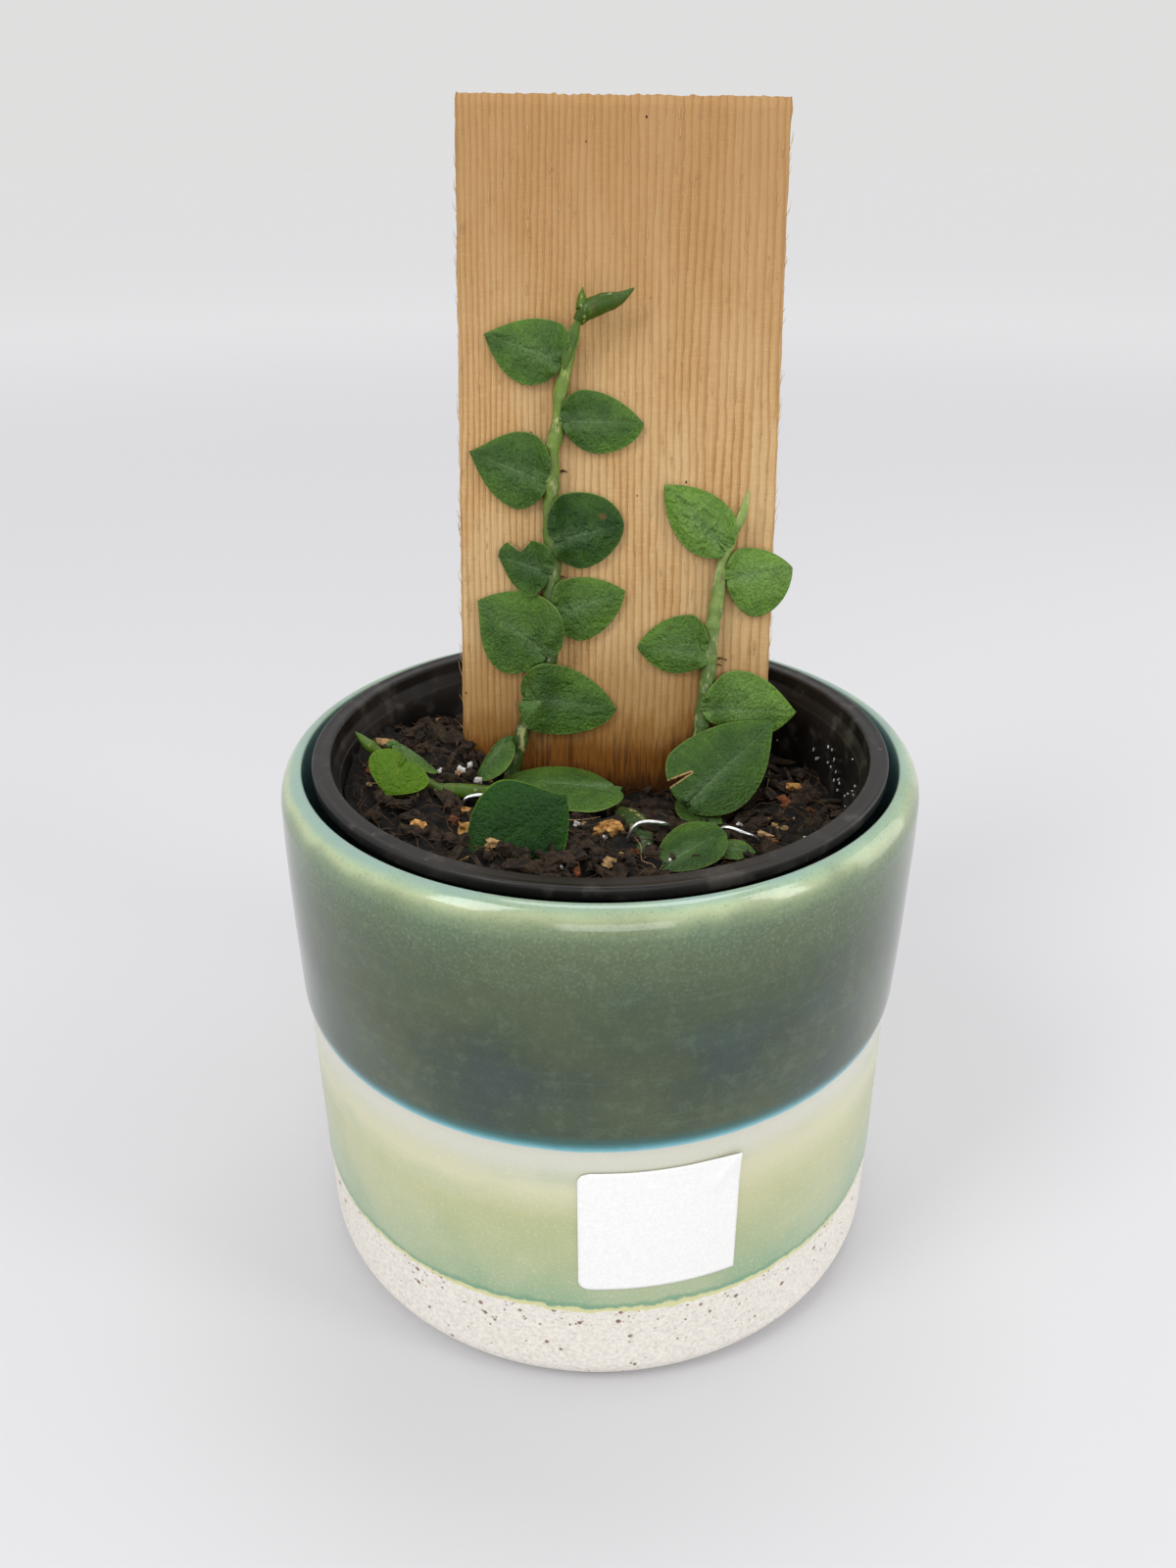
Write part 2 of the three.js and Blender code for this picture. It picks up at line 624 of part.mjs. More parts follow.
// A short stalk that leaves the blade at its notch, goes round the stem and down beside it
function petiole(leaf, stem, notchHeight) {
  const [across, up] = leaf.at;
  const [inX, inY] = [Math.cos(radians(leaf.angle)), Math.sin(radians(leaf.angle))];
  const side = across < stemAcross(stem, up) ? -1 : 1;
  const beside = STEM_RADIUS + PETIOLE_RADIUS + 2 * GAP + 0.3;
  const around = (angle, low) => [
    stemAcross(stem, up - low) + side * beside * Math.cos(radians(angle)),
    up - low,
    STEM_OUT + beside * Math.sin(radians(angle)),
  ];
  const middle = notchHeight + BLADE / 2;
  const path = [
    [across + inX * 1.8, up + inY * 1.8, middle],
    [across, up - 0.3, middle],
    around(35, 2),
    around(-10, 4),
  ];
  return sweep(path, [0.4, 0.6, PETIOLE_RADIUS, PETIOLE_RADIUS * 0.9], { sides: 5, steps: 4 });
}

function boardLeaf(description, stem, under) {
  const leaf = { ...LEAF_FORM, ...description };
  const net = bladeNet(leaf);
  const heights = drapedHeights(leaf, net, under);
  const toBoard = (geometry) =>
    geometry.rotateZ(radians(leaf.angle)).translate(leaf.at[0], leaf.at[1], 0);
  const blade = cut(bladeSolid(net, heights, BLADE), leaf.cuts.map(wedge));
  const placed = toBoard(toGeometry(blade));
  return solid(toGeometry(biggest(join([placed, petiole(leaf, stem, heights[0])]))));
}

// The rolled new leaf at a stem's top, and the tip of the sheath that it came out of
const GROWING_TIPS = [
  { name: 'left_growing_tip',
    path: [[-11.5, 103.5, 4.8], [-9.2, 105.9, 5.8], [-5.6, 107.7, 6.2], [-1, 109.1, 6],
      [3.6, 112, 5.4]],
    radii: [1.7, 2.9, 2.6, 1.4, 0.2],
    spur: [[-10.2, 106.6, 6.2], [-10.5, 109.2, 6], [-10.3, 112, 5.6]], spurRadii: [2, 1.2, 0.15] },
  { name: 'right_growing_tip',
    path: [[34.2, 52.6, 4.4], [34.8, 56, 5.2], [36, 60.6, 5]], radii: [1.3, 1.15, 0.2] },
];

// Leaves that stand free. base and tip are places of the notch and the leaf's point, face is
// the way that the upper side looks, and the halves are as on the board.
const FREE_LEAVES = [
  { name: 'left_leaf_9', base: [-24.3, 15.7, 142.8], tip: [-32.4, 4.8, 135.6],
    face: { height: 60, turn: -60 }, left: [6.4, 0.59, 0.6, 1.2], right: [4.5, 0.15, 1.8, 1.6],
    joint: [-23.6, 17.8, 141.7] },
  { name: 'right_leaf_5', base: [26, 3.2, 129.7], tip: [50.6, 19.8, 146.9],
    face: { height: 44, turn: 0 }, left: [14.1, 0.2, 3, 0.4], right: [11, 0.32, 2.8, -0.1],
    dome: 1.2, cuts: [[[6.5, 5.7], [-3.1, 9.9], [-2.9, 7.5]]], joint: [28.6, 13.9, 129.4] },
  { name: 'right_leaf_6', base: [24.4, 10, 127.1], tip: [35.2, -4.6, 124.1],
    face: { height: 78, turn: 0 }, left: [4.5, 0.4, 1, 0], right: [6, 0.38, 1.2, 0.8],
    dome: 0.4 },
  { name: 'shoot_leaf_1', base: [-51, -10.2, 149.2], tip: [-54.7, -17.6, 143.1],
    face: { height: 50, turn: 0 }, left: [8.8, 0.32, 1.4, 0.2], right: [8.6, 0.15, 3, 0.1],
    dome: 1, joint: [-51.6, -7.1, 146.3], lime: true },
  { name: 'shoot_leaf_2', base: [-55.1, -0.1, 149.1], tip: [-43.3, -2.9, 142.3],
    face: { height: 60, turn: 90 }, left: [2.4, 0.15, 1.5, -1], right: [5, 0.49, 1, 1.6],
    dome: 0.8, joint: [-56.4, -0.3, 149.2] },
  { name: 'soil_leaf_1', base: [-31, -38.8, 134.5], tip: [-7.6, -29.9, 150],
    face: { height: 30, turn: 0 }, left: [13.3, 0.56, 0.2, -0.5], right: [13.1, 0.45, 1.5, 0.4],
    dome: 1.2 },
  { name: 'soil_leaf_2', base: [4.9, 1.5, 134], tip: [-28.4, 5.9, 134.1],
    face: { height: 88, turn: 0 }, left: [12.9, 0.2, 4, 0], right: [11.5, 0.48, 0.5, 0.6],
    dome: 1.4, joint: [6.6, 1, 134.9] },
  { name: 'soil_leaf_3', base: [16.3, -37, 132.8], tip: [33.1, -23.6, 135.2],
    face: { height: 80, turn: 0 }, left: [9.3, 0.65, 0.9, 1.8], right: [7, 0.54, 1.6, 0.4],
    dome: 1 },
  { name: 'soil_leaf_4', base: [30.4, -26.6, 132.5], tip: [40.5, -28.9, 132.1],
    face: { height: 80, turn: 0 }, left: [3.8, 0.5, 1.5, 0], right: [4.2, 0.44, 1.5, 0],
    dome: 0.6 },
];

// The matrix of a free leaf: x along its midrib, z out of its upper side
function leafFrame({ base, tip, face }) {
  const [height, turn] = [radians(face.height), radians(face.turn)];
  const outward = new THREE.Vector3(Math.cos(height) * Math.sin(turn),
    -Math.cos(height) * Math.cos(turn), Math.sin(height));
  const along = point(tip).sub(point(base)).normalize();
  const across = outward.clone().cross(along).normalize();
  const up = along.clone().cross(across);
  return new THREE.Matrix4().makeBasis(along, across, up).setPosition(point(base));
}

function freeLeaf(description, grow = 0) {
  const length = point(description.tip).distanceTo(point(description.base));
  const leaf = { ...LEAF_FORM, lift: 0, ...description, length };
  const net = bladeNet(leaf, grow);
  const heights = net.corners.map((corner) => domeHeight(leaf, corner) - 2.6 * grow);
  const blade = bladeSolid(net, heights, BLADE + 4.3 * grow);
  const frame = leafFrame(leaf);
  const pieces = [toGeometry(cut(blade, grow > 0 ? [] : leaf.cuts.map(wedge)))
    .applyMatrix4(frame)];
  if (leaf.joint) {
    const start = new THREE.Vector3(1.6, 0, heights[0] + BLADE / 2 + grow).applyMatrix4(frame);
    const middle = new THREE.Vector3(-0.4, 0, heights[0] + grow).applyMatrix4(frame);
    const path = lengthened([start.toArray(), middle.toArray(), leaf.joint], grow);
    const radii = [0.6, 0.9, PETIOLE_RADIUS].map((radius) => radius + grow);
    pieces.push(sweep(path, radii, { sides: 5, steps: 4 }));
  }
  return solid(toGeometry(biggest(join(pieces))));
}

// Stems that creep on the soil, and the young shoot with its pointed tip
const CREEPING_STEM = [[4.6, 6.4, 128.4], [5.6, 1.5, 129.4], [6.8, -4, 130.6], [7.6, -8.5, 132.6],
  [8.8, -12.8, 134.6],
  [11.4, -21, 134.5], [11.9, -27.5, 132], [12.4, -32, 127]];
const SHOOT = [[-20.5, -6.4, 132], [-23, -7.8, 137], [-27, -9, 139.6], [-32, -9.4, 140.2],
  [-38.4, -10.4, 141],
  [-42.5, -10.4, 141.5], [-45.3, -8.6, 142.3], [-48.3, -7.1, 143.3], [-51.9, -4.9, 144.3],
  [-55.3, -2.8, 145.6], [-57.8, -1.5, 147]];
const SHOOT_TIP = [[-58.5, -1.2, 147.6], [-62.7, 0.9, 150], [-65.8, 3.7, 151.7]];

const creepingStem = (grow = 0) => sweep(lengthened(CREEPING_STEM, grow),
  [2, 2.1, 2.2, 2.4, 2.7, 2.6, 2.5, 2].map((radius) => radius + grow), { steps: 14 });
const shootStem = (grow = 0) => sweep(lengthened(SHOOT, grow),
  [1.4, 1.5, 1.6, 1.6, 2, 2.1, 1.7, 1.5, 1.4, 1.3, 1.2].map((radius) => radius + grow),
  { sides: 7, steps: 20 });
const shootTip = () => sweep(SHOOT_TIP, [1.3, 1.7, 0.15], { steps: 7, sides: 7 });

// Wire pins, each bent from one piece: leg, bridge, leg
const WIRE_PINS = [
  { name: 'wire_pin_1', path: [[7.2, -24.2, 124], [7.9, -24.1, 133.8], [10.6, -23.5, 138.2],
    [16.4, -23.2, 138.2], [18.7, -20.9, 135.6], [19.2, -19.6, 126]] },
  { name: 'wire_pin_2', path: [[-36.2, -13.2, 128], [-36, -13, 137.2], [-34.4, -12.6, 140],
    [-27.4, -12.4, 140.2], [-26, -12.4, 138.4], [-25.8, -12.4, 128]] },
  { name: 'wire_pin_3', path: [[43, -20.6, 124], [42, -20.8, 131.6], [38.4, -21.4, 134],
    [33.2, -19.4, 134.6], [31.6, -18.8, 131], [31.6, -18.6, 124]] },
];

function wirePin({ path }, grow = 0) {
  const radius = WIRE_RADIUS + grow;
  return sweep(lengthened(path, grow), [radius, radius], { sides: 6, steps: 14 });
}

// Height of the soil at a place, and the crumbs of its surface
function soilHeight(x, y) {
  const level = SOIL_HEIGHT - SOIL_SLOPE * x - 0.2 * Math.max(0, y - 25);
  return HOLLOWS.reduce((height, hollow) => {
    const far = ((x - hollow.x) / hollow.across) ** 6 + ((y - hollow.y) / hollow.along) ** 2;
    return height - hollow.depth * Math.exp(-far);
  }, level);
}

function crumbs(x, y) {
  return 0.55 * Math.sin(0.47 * x + 1.3) * Math.cos(0.53 * y - 0.4)
    + 0.35 * Math.sin(0.9 * x - 0.7 * y + 2.1) + 0.25 * Math.cos(1.3 * x + 1.1 * y);
}

function soilBody() {
  const bottom = NURSERY_BOTTOM + NURSERY_WALL + GAP;
  const places = [0, 0, soilHeight(0, 0) + crumbs(0, 0)];
  const faces = [];
  for (let i = 1; i <= SOIL_RINGS; i += 1) {
    for (let k = 0; k < NURSERY_SEGMENTS; k += 1) {
      const angle = (2 * Math.PI * k) / NURSERY_SEGMENTS;
      const share = i / SOIL_RINGS;
      const rough = (wallRadius(SOIL_HEIGHT) - 2) * share;
      const rest = soilHeight(rough * Math.cos(angle), rough * Math.sin(angle));
      const radius = (wallRadius(rest) - GAP - 0.1) * share;
      const [x, y] = [radius * Math.cos(angle), radius * Math.sin(angle)];
      places.push(x, y, rest + (i < SOIL_RINGS ? crumbs(x, y) : 0));
    }
  }
  const ring = (i, k) => 1 + (i - 1) * NURSERY_SEGMENTS + (k % NURSERY_SEGMENTS);
  const lowRing = SOIL_RINGS + 1;
  const lowRadius = wallRadius(bottom) - GAP - 0.1;
  for (let k = 0; k < NURSERY_SEGMENTS; k += 1) {
    const angle = (2 * Math.PI * k) / NURSERY_SEGMENTS;
    places.push(lowRadius * Math.cos(angle), lowRadius * Math.sin(angle), bottom);
  }
  const lowMiddle = places.length / 3;
  places.push(0, 0, bottom);
  for (let k = 0; k < NURSERY_SEGMENTS; k += 1) {
    faces.push(0, ring(1, k), ring(1, k + 1));
    faces.push(lowMiddle, ring(lowRing, k + 1), ring(lowRing, k));
    for (let i = 1; i < lowRing; i += 1) {
      faces.push(ring(i, k), ring(i + 1, k), ring(i + 1, k + 1));
      faces.push(ring(i, k), ring(i + 1, k + 1), ring(i, k + 1));
    }
  }
  const geometry = new THREE.BufferGeometry();
  geometry.setAttribute('position', new THREE.Float32BufferAttribute(places, 3));
  geometry.setIndex(faces);
  return geometry;
}

// Chips of bark, half sunk in the soil
function barkChips() {
  const random = randomFrom(11);
  return Array.from({ length: BARK_CHIPS }, () => {
    const angle = random() * 2 * Math.PI;
    const away = Math.sqrt(random()) * 61;
    const [x, y] = [away * Math.cos(angle), away * Math.sin(angle)];
    const [long, wide, thick] = [4 + 5 * random(), 2 + 3 * random(), 1.2 + 1.6 * random()];
    return new THREE.BoxGeometry(long, wide, thick)
      .rotateX(random() - 0.5)
      .rotateY(random() - 0.5)
      .rotateZ(random() * Math.PI)
      .translate(x, y, soilHeight(x, y) + 0.5);
  });
}

// Soil with its chips, hollowed for the board and for all that stands or lies in it
function pottingSoil() {
  const heap = join([soilBody(), ...barkChips()]);
  const hollows = [
    onBoard(board(GAP)),
    onBoard(leftStem(GAP)),
    onBoard(rightStem(GAP)),
    creepingStem(GAP),
    shootStem(GAP),
    ...FREE_LEAVES.map((leaf) => freeLeaf(leaf, GAP)),
    ...WIRE_PINS.map((pin) => wirePin(pin, GAP)),
  ];
  const shift = new THREE.Vector3(...NURSERY_OFFSET, 0);
  const shape = hollows.reduce((rest, tool) =>
    rest.subtract(toManifold(tool.clone().translate(-shift.x, -shift.y, 0))), heap);
  return toGeometry(biggest(shape));
}

// The assembly
const plant = new THREE.Group();

function place(parent, name, geometry, finish) {
  const mesh = new THREE.Mesh(solid(geometry), finish);
  mesh.name = name;
  parent.add(mesh);
  return mesh;
}

place(plant, 'cover_pot', coverPot(), MATERIALS.glaze);
place(plant, 'label', label(), MATERIALS.paper);
const nursery = new THREE.Group();
nursery.position.set(...NURSERY_OFFSET, 0);
plant.add(nursery);
place(nursery, 'nursery_pot', nurseryPot(), MATERIALS.plastic);
place(nursery, 'potting_soil', pottingSoil(), MATERIALS.soil);

plant.add(boardFrame);
place(boardFrame, 'cedar_board', board(), MATERIALS.cedar);
const stems = { left: leftStem(), right: rightStem() };
place(boardFrame, 'left_stem', stems.left, MATERIALS.stem);
place(boardFrame, 'right_stem', stems.right, MATERIALS.stem);

const under = [leftStem(GAP), rightStem(GAP)].flatMap((stem) => trianglesOf(solid(stem)));
for (const description of BOARD_LEAVES) {
  const side = description.name.startsWith('left') ? LEFT_STEM : RIGHT_STEM;
  const mesh = place(boardFrame, description.name, boardLeaf(description, side, under),
    MATERIALS.leaf);
  under.push(...trianglesOf(mesh.geometry));
}

for (const { name, path, radii, spur, spurRadii } of GROWING_TIPS) {
  const pieces = [sweep(path, radii, { sides: 8, steps: 10 })];
  if (spur) pieces.push(sweep(spur, spurRadii, { sides: 6, steps: 4 }));
  place(boardFrame, name, toGeometry(join(pieces)), MATERIALS.limeLeaf);
}

for (const description of FREE_LEAVES) {
  const finish = description.lime ? MATERIALS.limeLeaf : MATERIALS.leaf;
  place(plant, description.name, freeLeaf(description), finish);
}
place(plant, 'creeping_stem', creepingStem(), MATERIALS.stem);
place(plant, 'shoot_stem', shootStem(), MATERIALS.stem);
place(plant, 'shoot_tip', shootTip(), MATERIALS.limeLeaf);
for (const pin of WIRE_PINS) place(plant, pin.name, wirePin(pin), MATERIALS.wire);

export default plant;
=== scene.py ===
import math
import random
from itertools import product

import bpy
import numpy as np
from mathutils import Matrix, Vector
from mathutils.bvhtree import BVHTree


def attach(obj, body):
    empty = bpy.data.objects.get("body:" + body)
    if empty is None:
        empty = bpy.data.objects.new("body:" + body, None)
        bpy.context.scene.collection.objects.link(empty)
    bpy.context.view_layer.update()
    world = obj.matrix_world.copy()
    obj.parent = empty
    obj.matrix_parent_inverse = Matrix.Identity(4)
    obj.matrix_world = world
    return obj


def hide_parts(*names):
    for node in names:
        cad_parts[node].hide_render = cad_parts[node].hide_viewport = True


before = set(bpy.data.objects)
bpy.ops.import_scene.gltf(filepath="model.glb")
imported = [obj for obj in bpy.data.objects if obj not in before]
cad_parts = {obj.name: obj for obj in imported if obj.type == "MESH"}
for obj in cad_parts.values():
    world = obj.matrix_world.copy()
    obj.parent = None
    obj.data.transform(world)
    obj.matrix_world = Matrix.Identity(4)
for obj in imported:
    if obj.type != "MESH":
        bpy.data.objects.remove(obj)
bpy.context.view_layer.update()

# Lengths below are millimetres, as in the part's source
MM = 0.001

# Camera, from a fit to the pots' rims, the board and the label
CAMERA_PLACE = (0, -294.3, 290.7)
CAMERA_PITCH = 0.480
CAMERA_YAW = -0.0084
CAMERA_ROLL = -0.006
CAMERA_LENS = 27.72
SENSOR = 36

# Board: its middle at the height where the front is measured from, and its turns in degrees
BOARD_WIDTH = 88.9
BOARD_THICKNESS = 16
BOARD_UP = 160.6
BOARD_DOWN = 141.3
BOARD_PLACE = (5.3, 27, 150)
BOARD_TURN = 0.59
BOARD_LEAN = 15
BOARD_ROLL = -0.885

# Where the board's edges start to be worn, and the share that is worn off
EDGE_WEAR = 0.8
WORN_SHARE = 0.35

# Torn strands at the board's edges and on its front
EDGE_HAIRS = 190
FACE_FLECKS = 230

# Cover pot
COVER_RADIUS = 84.6
COVER_LOWER_RADIUS = 83.4
COVER_BULGE = 85
COVER_STEP_Z = 85
COVER_TOP = 150.3
COVER_LIP_ACROSS = 5.4
COVER_LIP_DOWN = 8
COVER_LIP_INNER = 78.8
COVER_LEAN = 0.011
COVER_FOOT = 9
COVER_FLOOR = 6.5
COVER_INNER = 77.6
GLAZE_EDGE_Z = 29.4

# Nursery pot
NURSERY_RIM = 76
NURSERY_LIP = 71
NURSERY_TOP = 152.3
NURSERY_SKIRT = 3.4
NURSERY_LEDGE = 69.8
NURSERY_LEDGE_Z = 145.5
NURSERY_BASE = 58.5
NURSERY_WALL = 1.5
NURSERY_BOTTOM = 6.8
NURSERY_OFFSET = (0.7, -0.7)
DRAIN_HOLES = 8
DRAIN_RADIUS = 5
DRAIN_CIRCLE = 44

# Soil
SOIL_HEIGHT = 136
SOIL_SLOPE = 0.11
SOIL_REACH = 65

# Hollows in the soil: middle x and y, width, length, depth
HOLLOWS = [(4, 16, 40, 24, 11), (31, -1, 13, 11, 3)]

# Crumbs on the nursery pot's wall: how many, the lowest height and how far up they reach
WALL_SPECKS = 60
SPECKS_LOW = 131
SPECKS_SPAN = 14

# Larger bits at their places in the photo: x, y, z, length, width, thickness, turn
BARK_SPOTS = [(14.5, -20.3, 135, 8, 4, 3, 20), (19, 9, 125, 8, 4.5, 3, -15), (-7, -40, 137.5, 9, 4, 3, 35),
              (-18, -47, 139.5, 7, 4, 2.5, 10), (-12, -54, 139, 8, 3.5, 3, 70),
              (5, -52, 136.5, 7, 4, 2.5, -30)]
TAN_SPOTS = [(2.6, -41, 137, 3.6, 2.6, 2, 70), (-25.5, -37.4, 140.5, 3, 2.4, 1.8, 40),
             (-60.3, 14.3, 143.4, 5, 3, 1.4, 15), (44.4, -18.1, 131.6, 4, 1.6, 1, -30),
             (-32.3, 27.5, 135.6, 3.4, 2, 1.2, 20), (-29, 26, 135.6, 2.4, 1.6, 1.2, -30)]
GOLD_SPOTS = [(3.2, -22.5, 135.8, 5.6, 3.6, 3, 15), (0.6, -24, 135.6, 3.2, 2.8, 2.4, 60),
              (-32.4, -30.4, 140.6, 4, 3.4, 2.6, 30), (-33.5, -20, 139.8, 2.6, 2.2, 1.8, 0),
              (-44.2, -31, 141.4, 4, 2.4, 1.6, -25), (56.2, 11, 130.8, 4.4, 2, 1.4, 20)]
PERLITE_SPOTS = [(-37.8, 5.7, 139, 2, 1.8, 1.6, 0), (-33.1, 4.2, 136.6, 1.8, 1.4, 1.4, 40),
                 (23.6, 9.1, 124, 1.8, 1.6, 1.4, 20)]

# Label: from and to in degrees round the pot, its heights and the radius of its corners
LABEL = {"from": -3.4, "to": 24.4, "bottom": 37.9, "top": 77.2, "corner": 3}
LABEL_GAP = 0.35
LABEL_SHEET = 0.22
LABEL_STEPS = 60

# Wire pins
WIRE_RADIUS = 0.6

# Leaves: how thick the solid and the thin blades are, steps along and out, where the midrib starts
BLADE = 0.8
THIN = 0.5
STATIONS = 80
RINGS = 24
RIB_START = 2 / 9
SEED_STEP = 10

# Stage
BACKGROUND = (0.745, 0.738, 0.735)
FLOOR_COLOUR = (204, 204, 207)
FLOOR_REACH = 30000
FAR_GLOW = 0.38


# Geometry helpers

def lattice_value(cells, seed):
    """A repeatable random value from 0 to 1 at each whole-number place."""
    mixed = cells[..., 0] * 73856093 ^ cells[..., 1] * 19349663 ^ cells[..., 2] * 83492791 ^ seed * 7919
    mixed = (mixed * 2654435761) & 0xFFFFFFFF
    mixed = ((mixed >> 13) ^ mixed) * 2246822519 & 0xFFFFFFFF
    mixed = (mixed >> 16) ^ mixed
    return mixed / 0xFFFFFFFF


def noise(points, size, seed=0):
    """Smooth noise from -1 to 1 whose lumps are about size across."""
    scaled = np.asarray(points, float) / size + 1000
    whole = np.floor(scaled).astype(np.int64)
    share = scaled - whole
    share = share * share * (3 - 2 * share)
    total = 0
    for dx, dy, dz in product((0, 1), repeat=3):
        weight = (abs(1 - dx - share[..., 0]) * abs(1 - dy - share[..., 1])
                  * abs(1 - dz - share[..., 2]))
        total = total + weight * lattice_value(whole + np.array([dx, dy, dz]), seed)
    return total * 2 - 1


def rough(points, size, seed=0, octaves=3, fade=0.5):
    """Noise in several sizes, each half as large as the one before."""
    return sum(fade ** i * noise(points, size / 2 ** i, seed + i) for i in range(octaves))


def smooth_path(path, count):
    """Places evenly spread on a centripetal curve through the path's points."""
    path = np.asarray(path, float)
    first = 2 * path[0] - path[1]
    last = 2 * path[-1] - path[-2]
    points = np.vstack([first, path, last])
    dense = []
    for i in range(1, len(points) - 2):
        corners = points[i - 1:i + 3]
        knots = [0]
        for a, b in zip(corners[:-1], corners[1:]):
            knots.append(knots[-1] + max(np.linalg.norm(b - a), 1e-6) ** 0.5)
        t = np.linspace(knots[1], knots[2], 24, endpoint=False)[:, None]

        def between(a, b, start, end):
            return (a * (end - t) + b * (t - start)) / (end - start)

        a1 = between(corners[0], corners[1], knots[0], knots[1])
        a2 = between(corners[1], corners[2], knots[1], knots[2])
        a3 = between(corners[2], corners[3], knots[2], knots[3])
        b1 = between(a1, a2, knots[0], knots[2])
        b2 = between(a2, a3, knots[1], knots[3])
        dense.append(between(b1, b2, knots[1], knots[2]))
    dense = np.vstack(dense + [path[-1:]])
    steps = np.linalg.norm(np.diff(dense, axis=0), axis=1)
    length = np.concatenate([[0], np.cumsum(steps)])
    wanted = np.linspace(0, length[-1], count)
    return np.column_stack([np.interp(wanted, length, dense[:, k]) for k in range(3)])


def tube(path, radii, sides=12, steps=60, flat=1.0, seed=None, bumps=0.0, face=None):
    """A closed round body along a smooth path, as vertices, faces and the length at each vertex.

    A body with a face is flattened in that direction."""
    middle = smooth_path(path, steps + 1)
    along = np.gradient(middle, axis=0)
    along /= np.linalg.norm(along, axis=1)[:, None]
    normal = np.cross(along[0], [0.31, 0.2, 0.93])
    normal /= np.linalg.norm(normal)
    radius = np.interp(np.linspace(0, 1, steps + 1), np.linspace(0, 1, len(radii)), radii)
    vertices = []
    lengths = []
    far = 0
    for i in range(steps + 1):
        if i:
            far += np.linalg.norm(middle[i] - middle[i - 1])
        if face is not None:
            normal = np.cross(face, along[i])
        normal = normal - along[i] * (normal @ along[i])
        normal /= np.linalg.norm(normal)
        side = np.cross(along[i], normal)
        for k in range(sides):
            angle = 2 * math.pi * k / sides
            vertices.append(middle[i] + radius[i] * (math.cos(angle) * normal
                                                     + flat * math.sin(angle) * side))
            lengths.append(far)
    vertices = np.array(vertices)
    if seed is not None:
        centre = np.repeat(middle, sides, axis=0)
        swell = 1 + bumps * rough(vertices, 2.4, seed)
        vertices = centre + (vertices - centre) * swell[:, None]
    faces = []
    for i in range(steps):
        for k in range(sides):
            a = i * sides + k
            b = i * sides + (k + 1) % sides
            faces.append((a, b, b + sides, a + sides))
    faces.append(tuple(range(sides - 1, -1, -1)))
    faces.append(tuple(range(steps * sides, (steps + 1) * sides)))
    return vertices, faces, np.array(lengths)


def combine(parts):
    """Several bodies, each (vertices, faces), as one."""
    vertices = []
    faces = []
    start = 0
    for body in parts:
        vertices.append(np.asarray(body[0], float))
        faces.extend(tuple(corner + start for corner in face) for face in body[1])
        start += len(body[0])
    return np.vstack(vertices), faces


def add_item(name, data):
    """A new object in the scene."""
    item = bpy.data.objects.new(name, data)
    bpy.context.scene.collection.objects.link(item)
    return item


def new_mesh(name, vertices, faces):
    """A mesh whose vertices are given in millimetres."""
    mesh = bpy.data.meshes.new(name)
    mesh.from_pydata((np.asarray(vertices) * MM).tolist(), [], faces)
    return mesh


def make_piece(name, vertices, faces, finish, slot, stands_for=(), attributes=None, merge=False,
               smooth=True):
    """A piece of the object, with its vertices given in millimetres."""
    mesh = new_mesh(name, vertices, faces)
    for key, values in (attributes or {}).items():
        values = np.asarray(values, np.float32)
        kind = "FLOAT_VECTOR" if values.ndim == 2 else "FLOAT"
        layer = mesh.attributes.new(key, kind, "POINT")
        layer.data.foreach_set("vector" if values.ndim == 2 else "value", values.ravel())
    mesh.materials.append(finish)
    piece = add_item(name, mesh)
    if merge:
        apply_modifier(piece, "WELD", merge_threshold=0.002 * MM)
    mesh = piece.data
    mesh.validate()
    mesh.polygons.foreach_set("use_smooth", [smooth] * len(mesh.polygons))
    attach(piece, "root")
    if stands_for:
        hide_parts(*stands_for)
    return piece


def apply_modifier(piece, kind, **values):
    """A modifier worked into the piece's own mesh."""
    modifier = piece.modifiers.new(kind.lower(), kind)
    for key, value in values.items():
        setattr(modifier, key, value)
    graph = bpy.context.evaluated_depsgraph_get()
    bpy.context.view_layer.update()
    result = bpy.data.meshes.new_from_object(piece.evaluated_get(graph))
    piece.modifiers.clear()
    piece.data = result


def cut_away(piece, vertices, faces):
    """Takes a closed body out of a piece."""
    cutter = add_item("cutter", new_mesh("cutter", vertices, faces))
    apply_modifier(piece, "BOOLEAN", operation="DIFFERENCE", object=cutter, solver="EXACT")
    bpy.data.objects.remove(cutter)


def lathe(profile, segments, offset=(0, 0)):
    """A body of revolution about Z from [radius, height] corners that start and end on the axis."""
    profile = np.asarray(profile, float)
    angles = 2 * math.pi * np.arange(segments) / segments
    vertices = [(offset[0], offset[1], profile[0][1])]
    for radius, height in profile[1:-1]:
        for angle in angles:
            vertices.append((offset[0] + radius * math.cos(angle),
                             offset[1] + radius * math.sin(angle), height))
    vertices.append((offset[0], offset[1], profile[-1][1]))
    last = len(vertices) - 1
    rows = len(profile) - 2
    faces = []
    for k in range(segments):
        n = (k + 1) % segments
        faces.append((0, 1 + n, 1 + k))
        faces.append((last, 1 + (rows - 1) * segments + k, 1 + (rows - 1) * segments + n))
        for i in range(rows - 1):
            low = 1 + i * segments
            faces.append((low + k, low + n, low + segments + n, low + segments + k))
    return np.array(vertices), faces


def arc(middle, radius, start, end, steps):
    """Corners on an arc, its angles in degrees."""
    angles = np.radians(np.linspace(start, end, steps + 1))
    return [(middle[0] + radius * math.cos(a), middle[1] + radius * math.sin(a)) for a in angles]


def line(start, end, steps):
    """Corners spread along a straight line, without its end."""
    return [(start[0] + (end[0] - start[0]) * i / steps, start[1] + (end[1] - start[1]) * i / steps)
            for i in range(steps)]


# Shader helpers

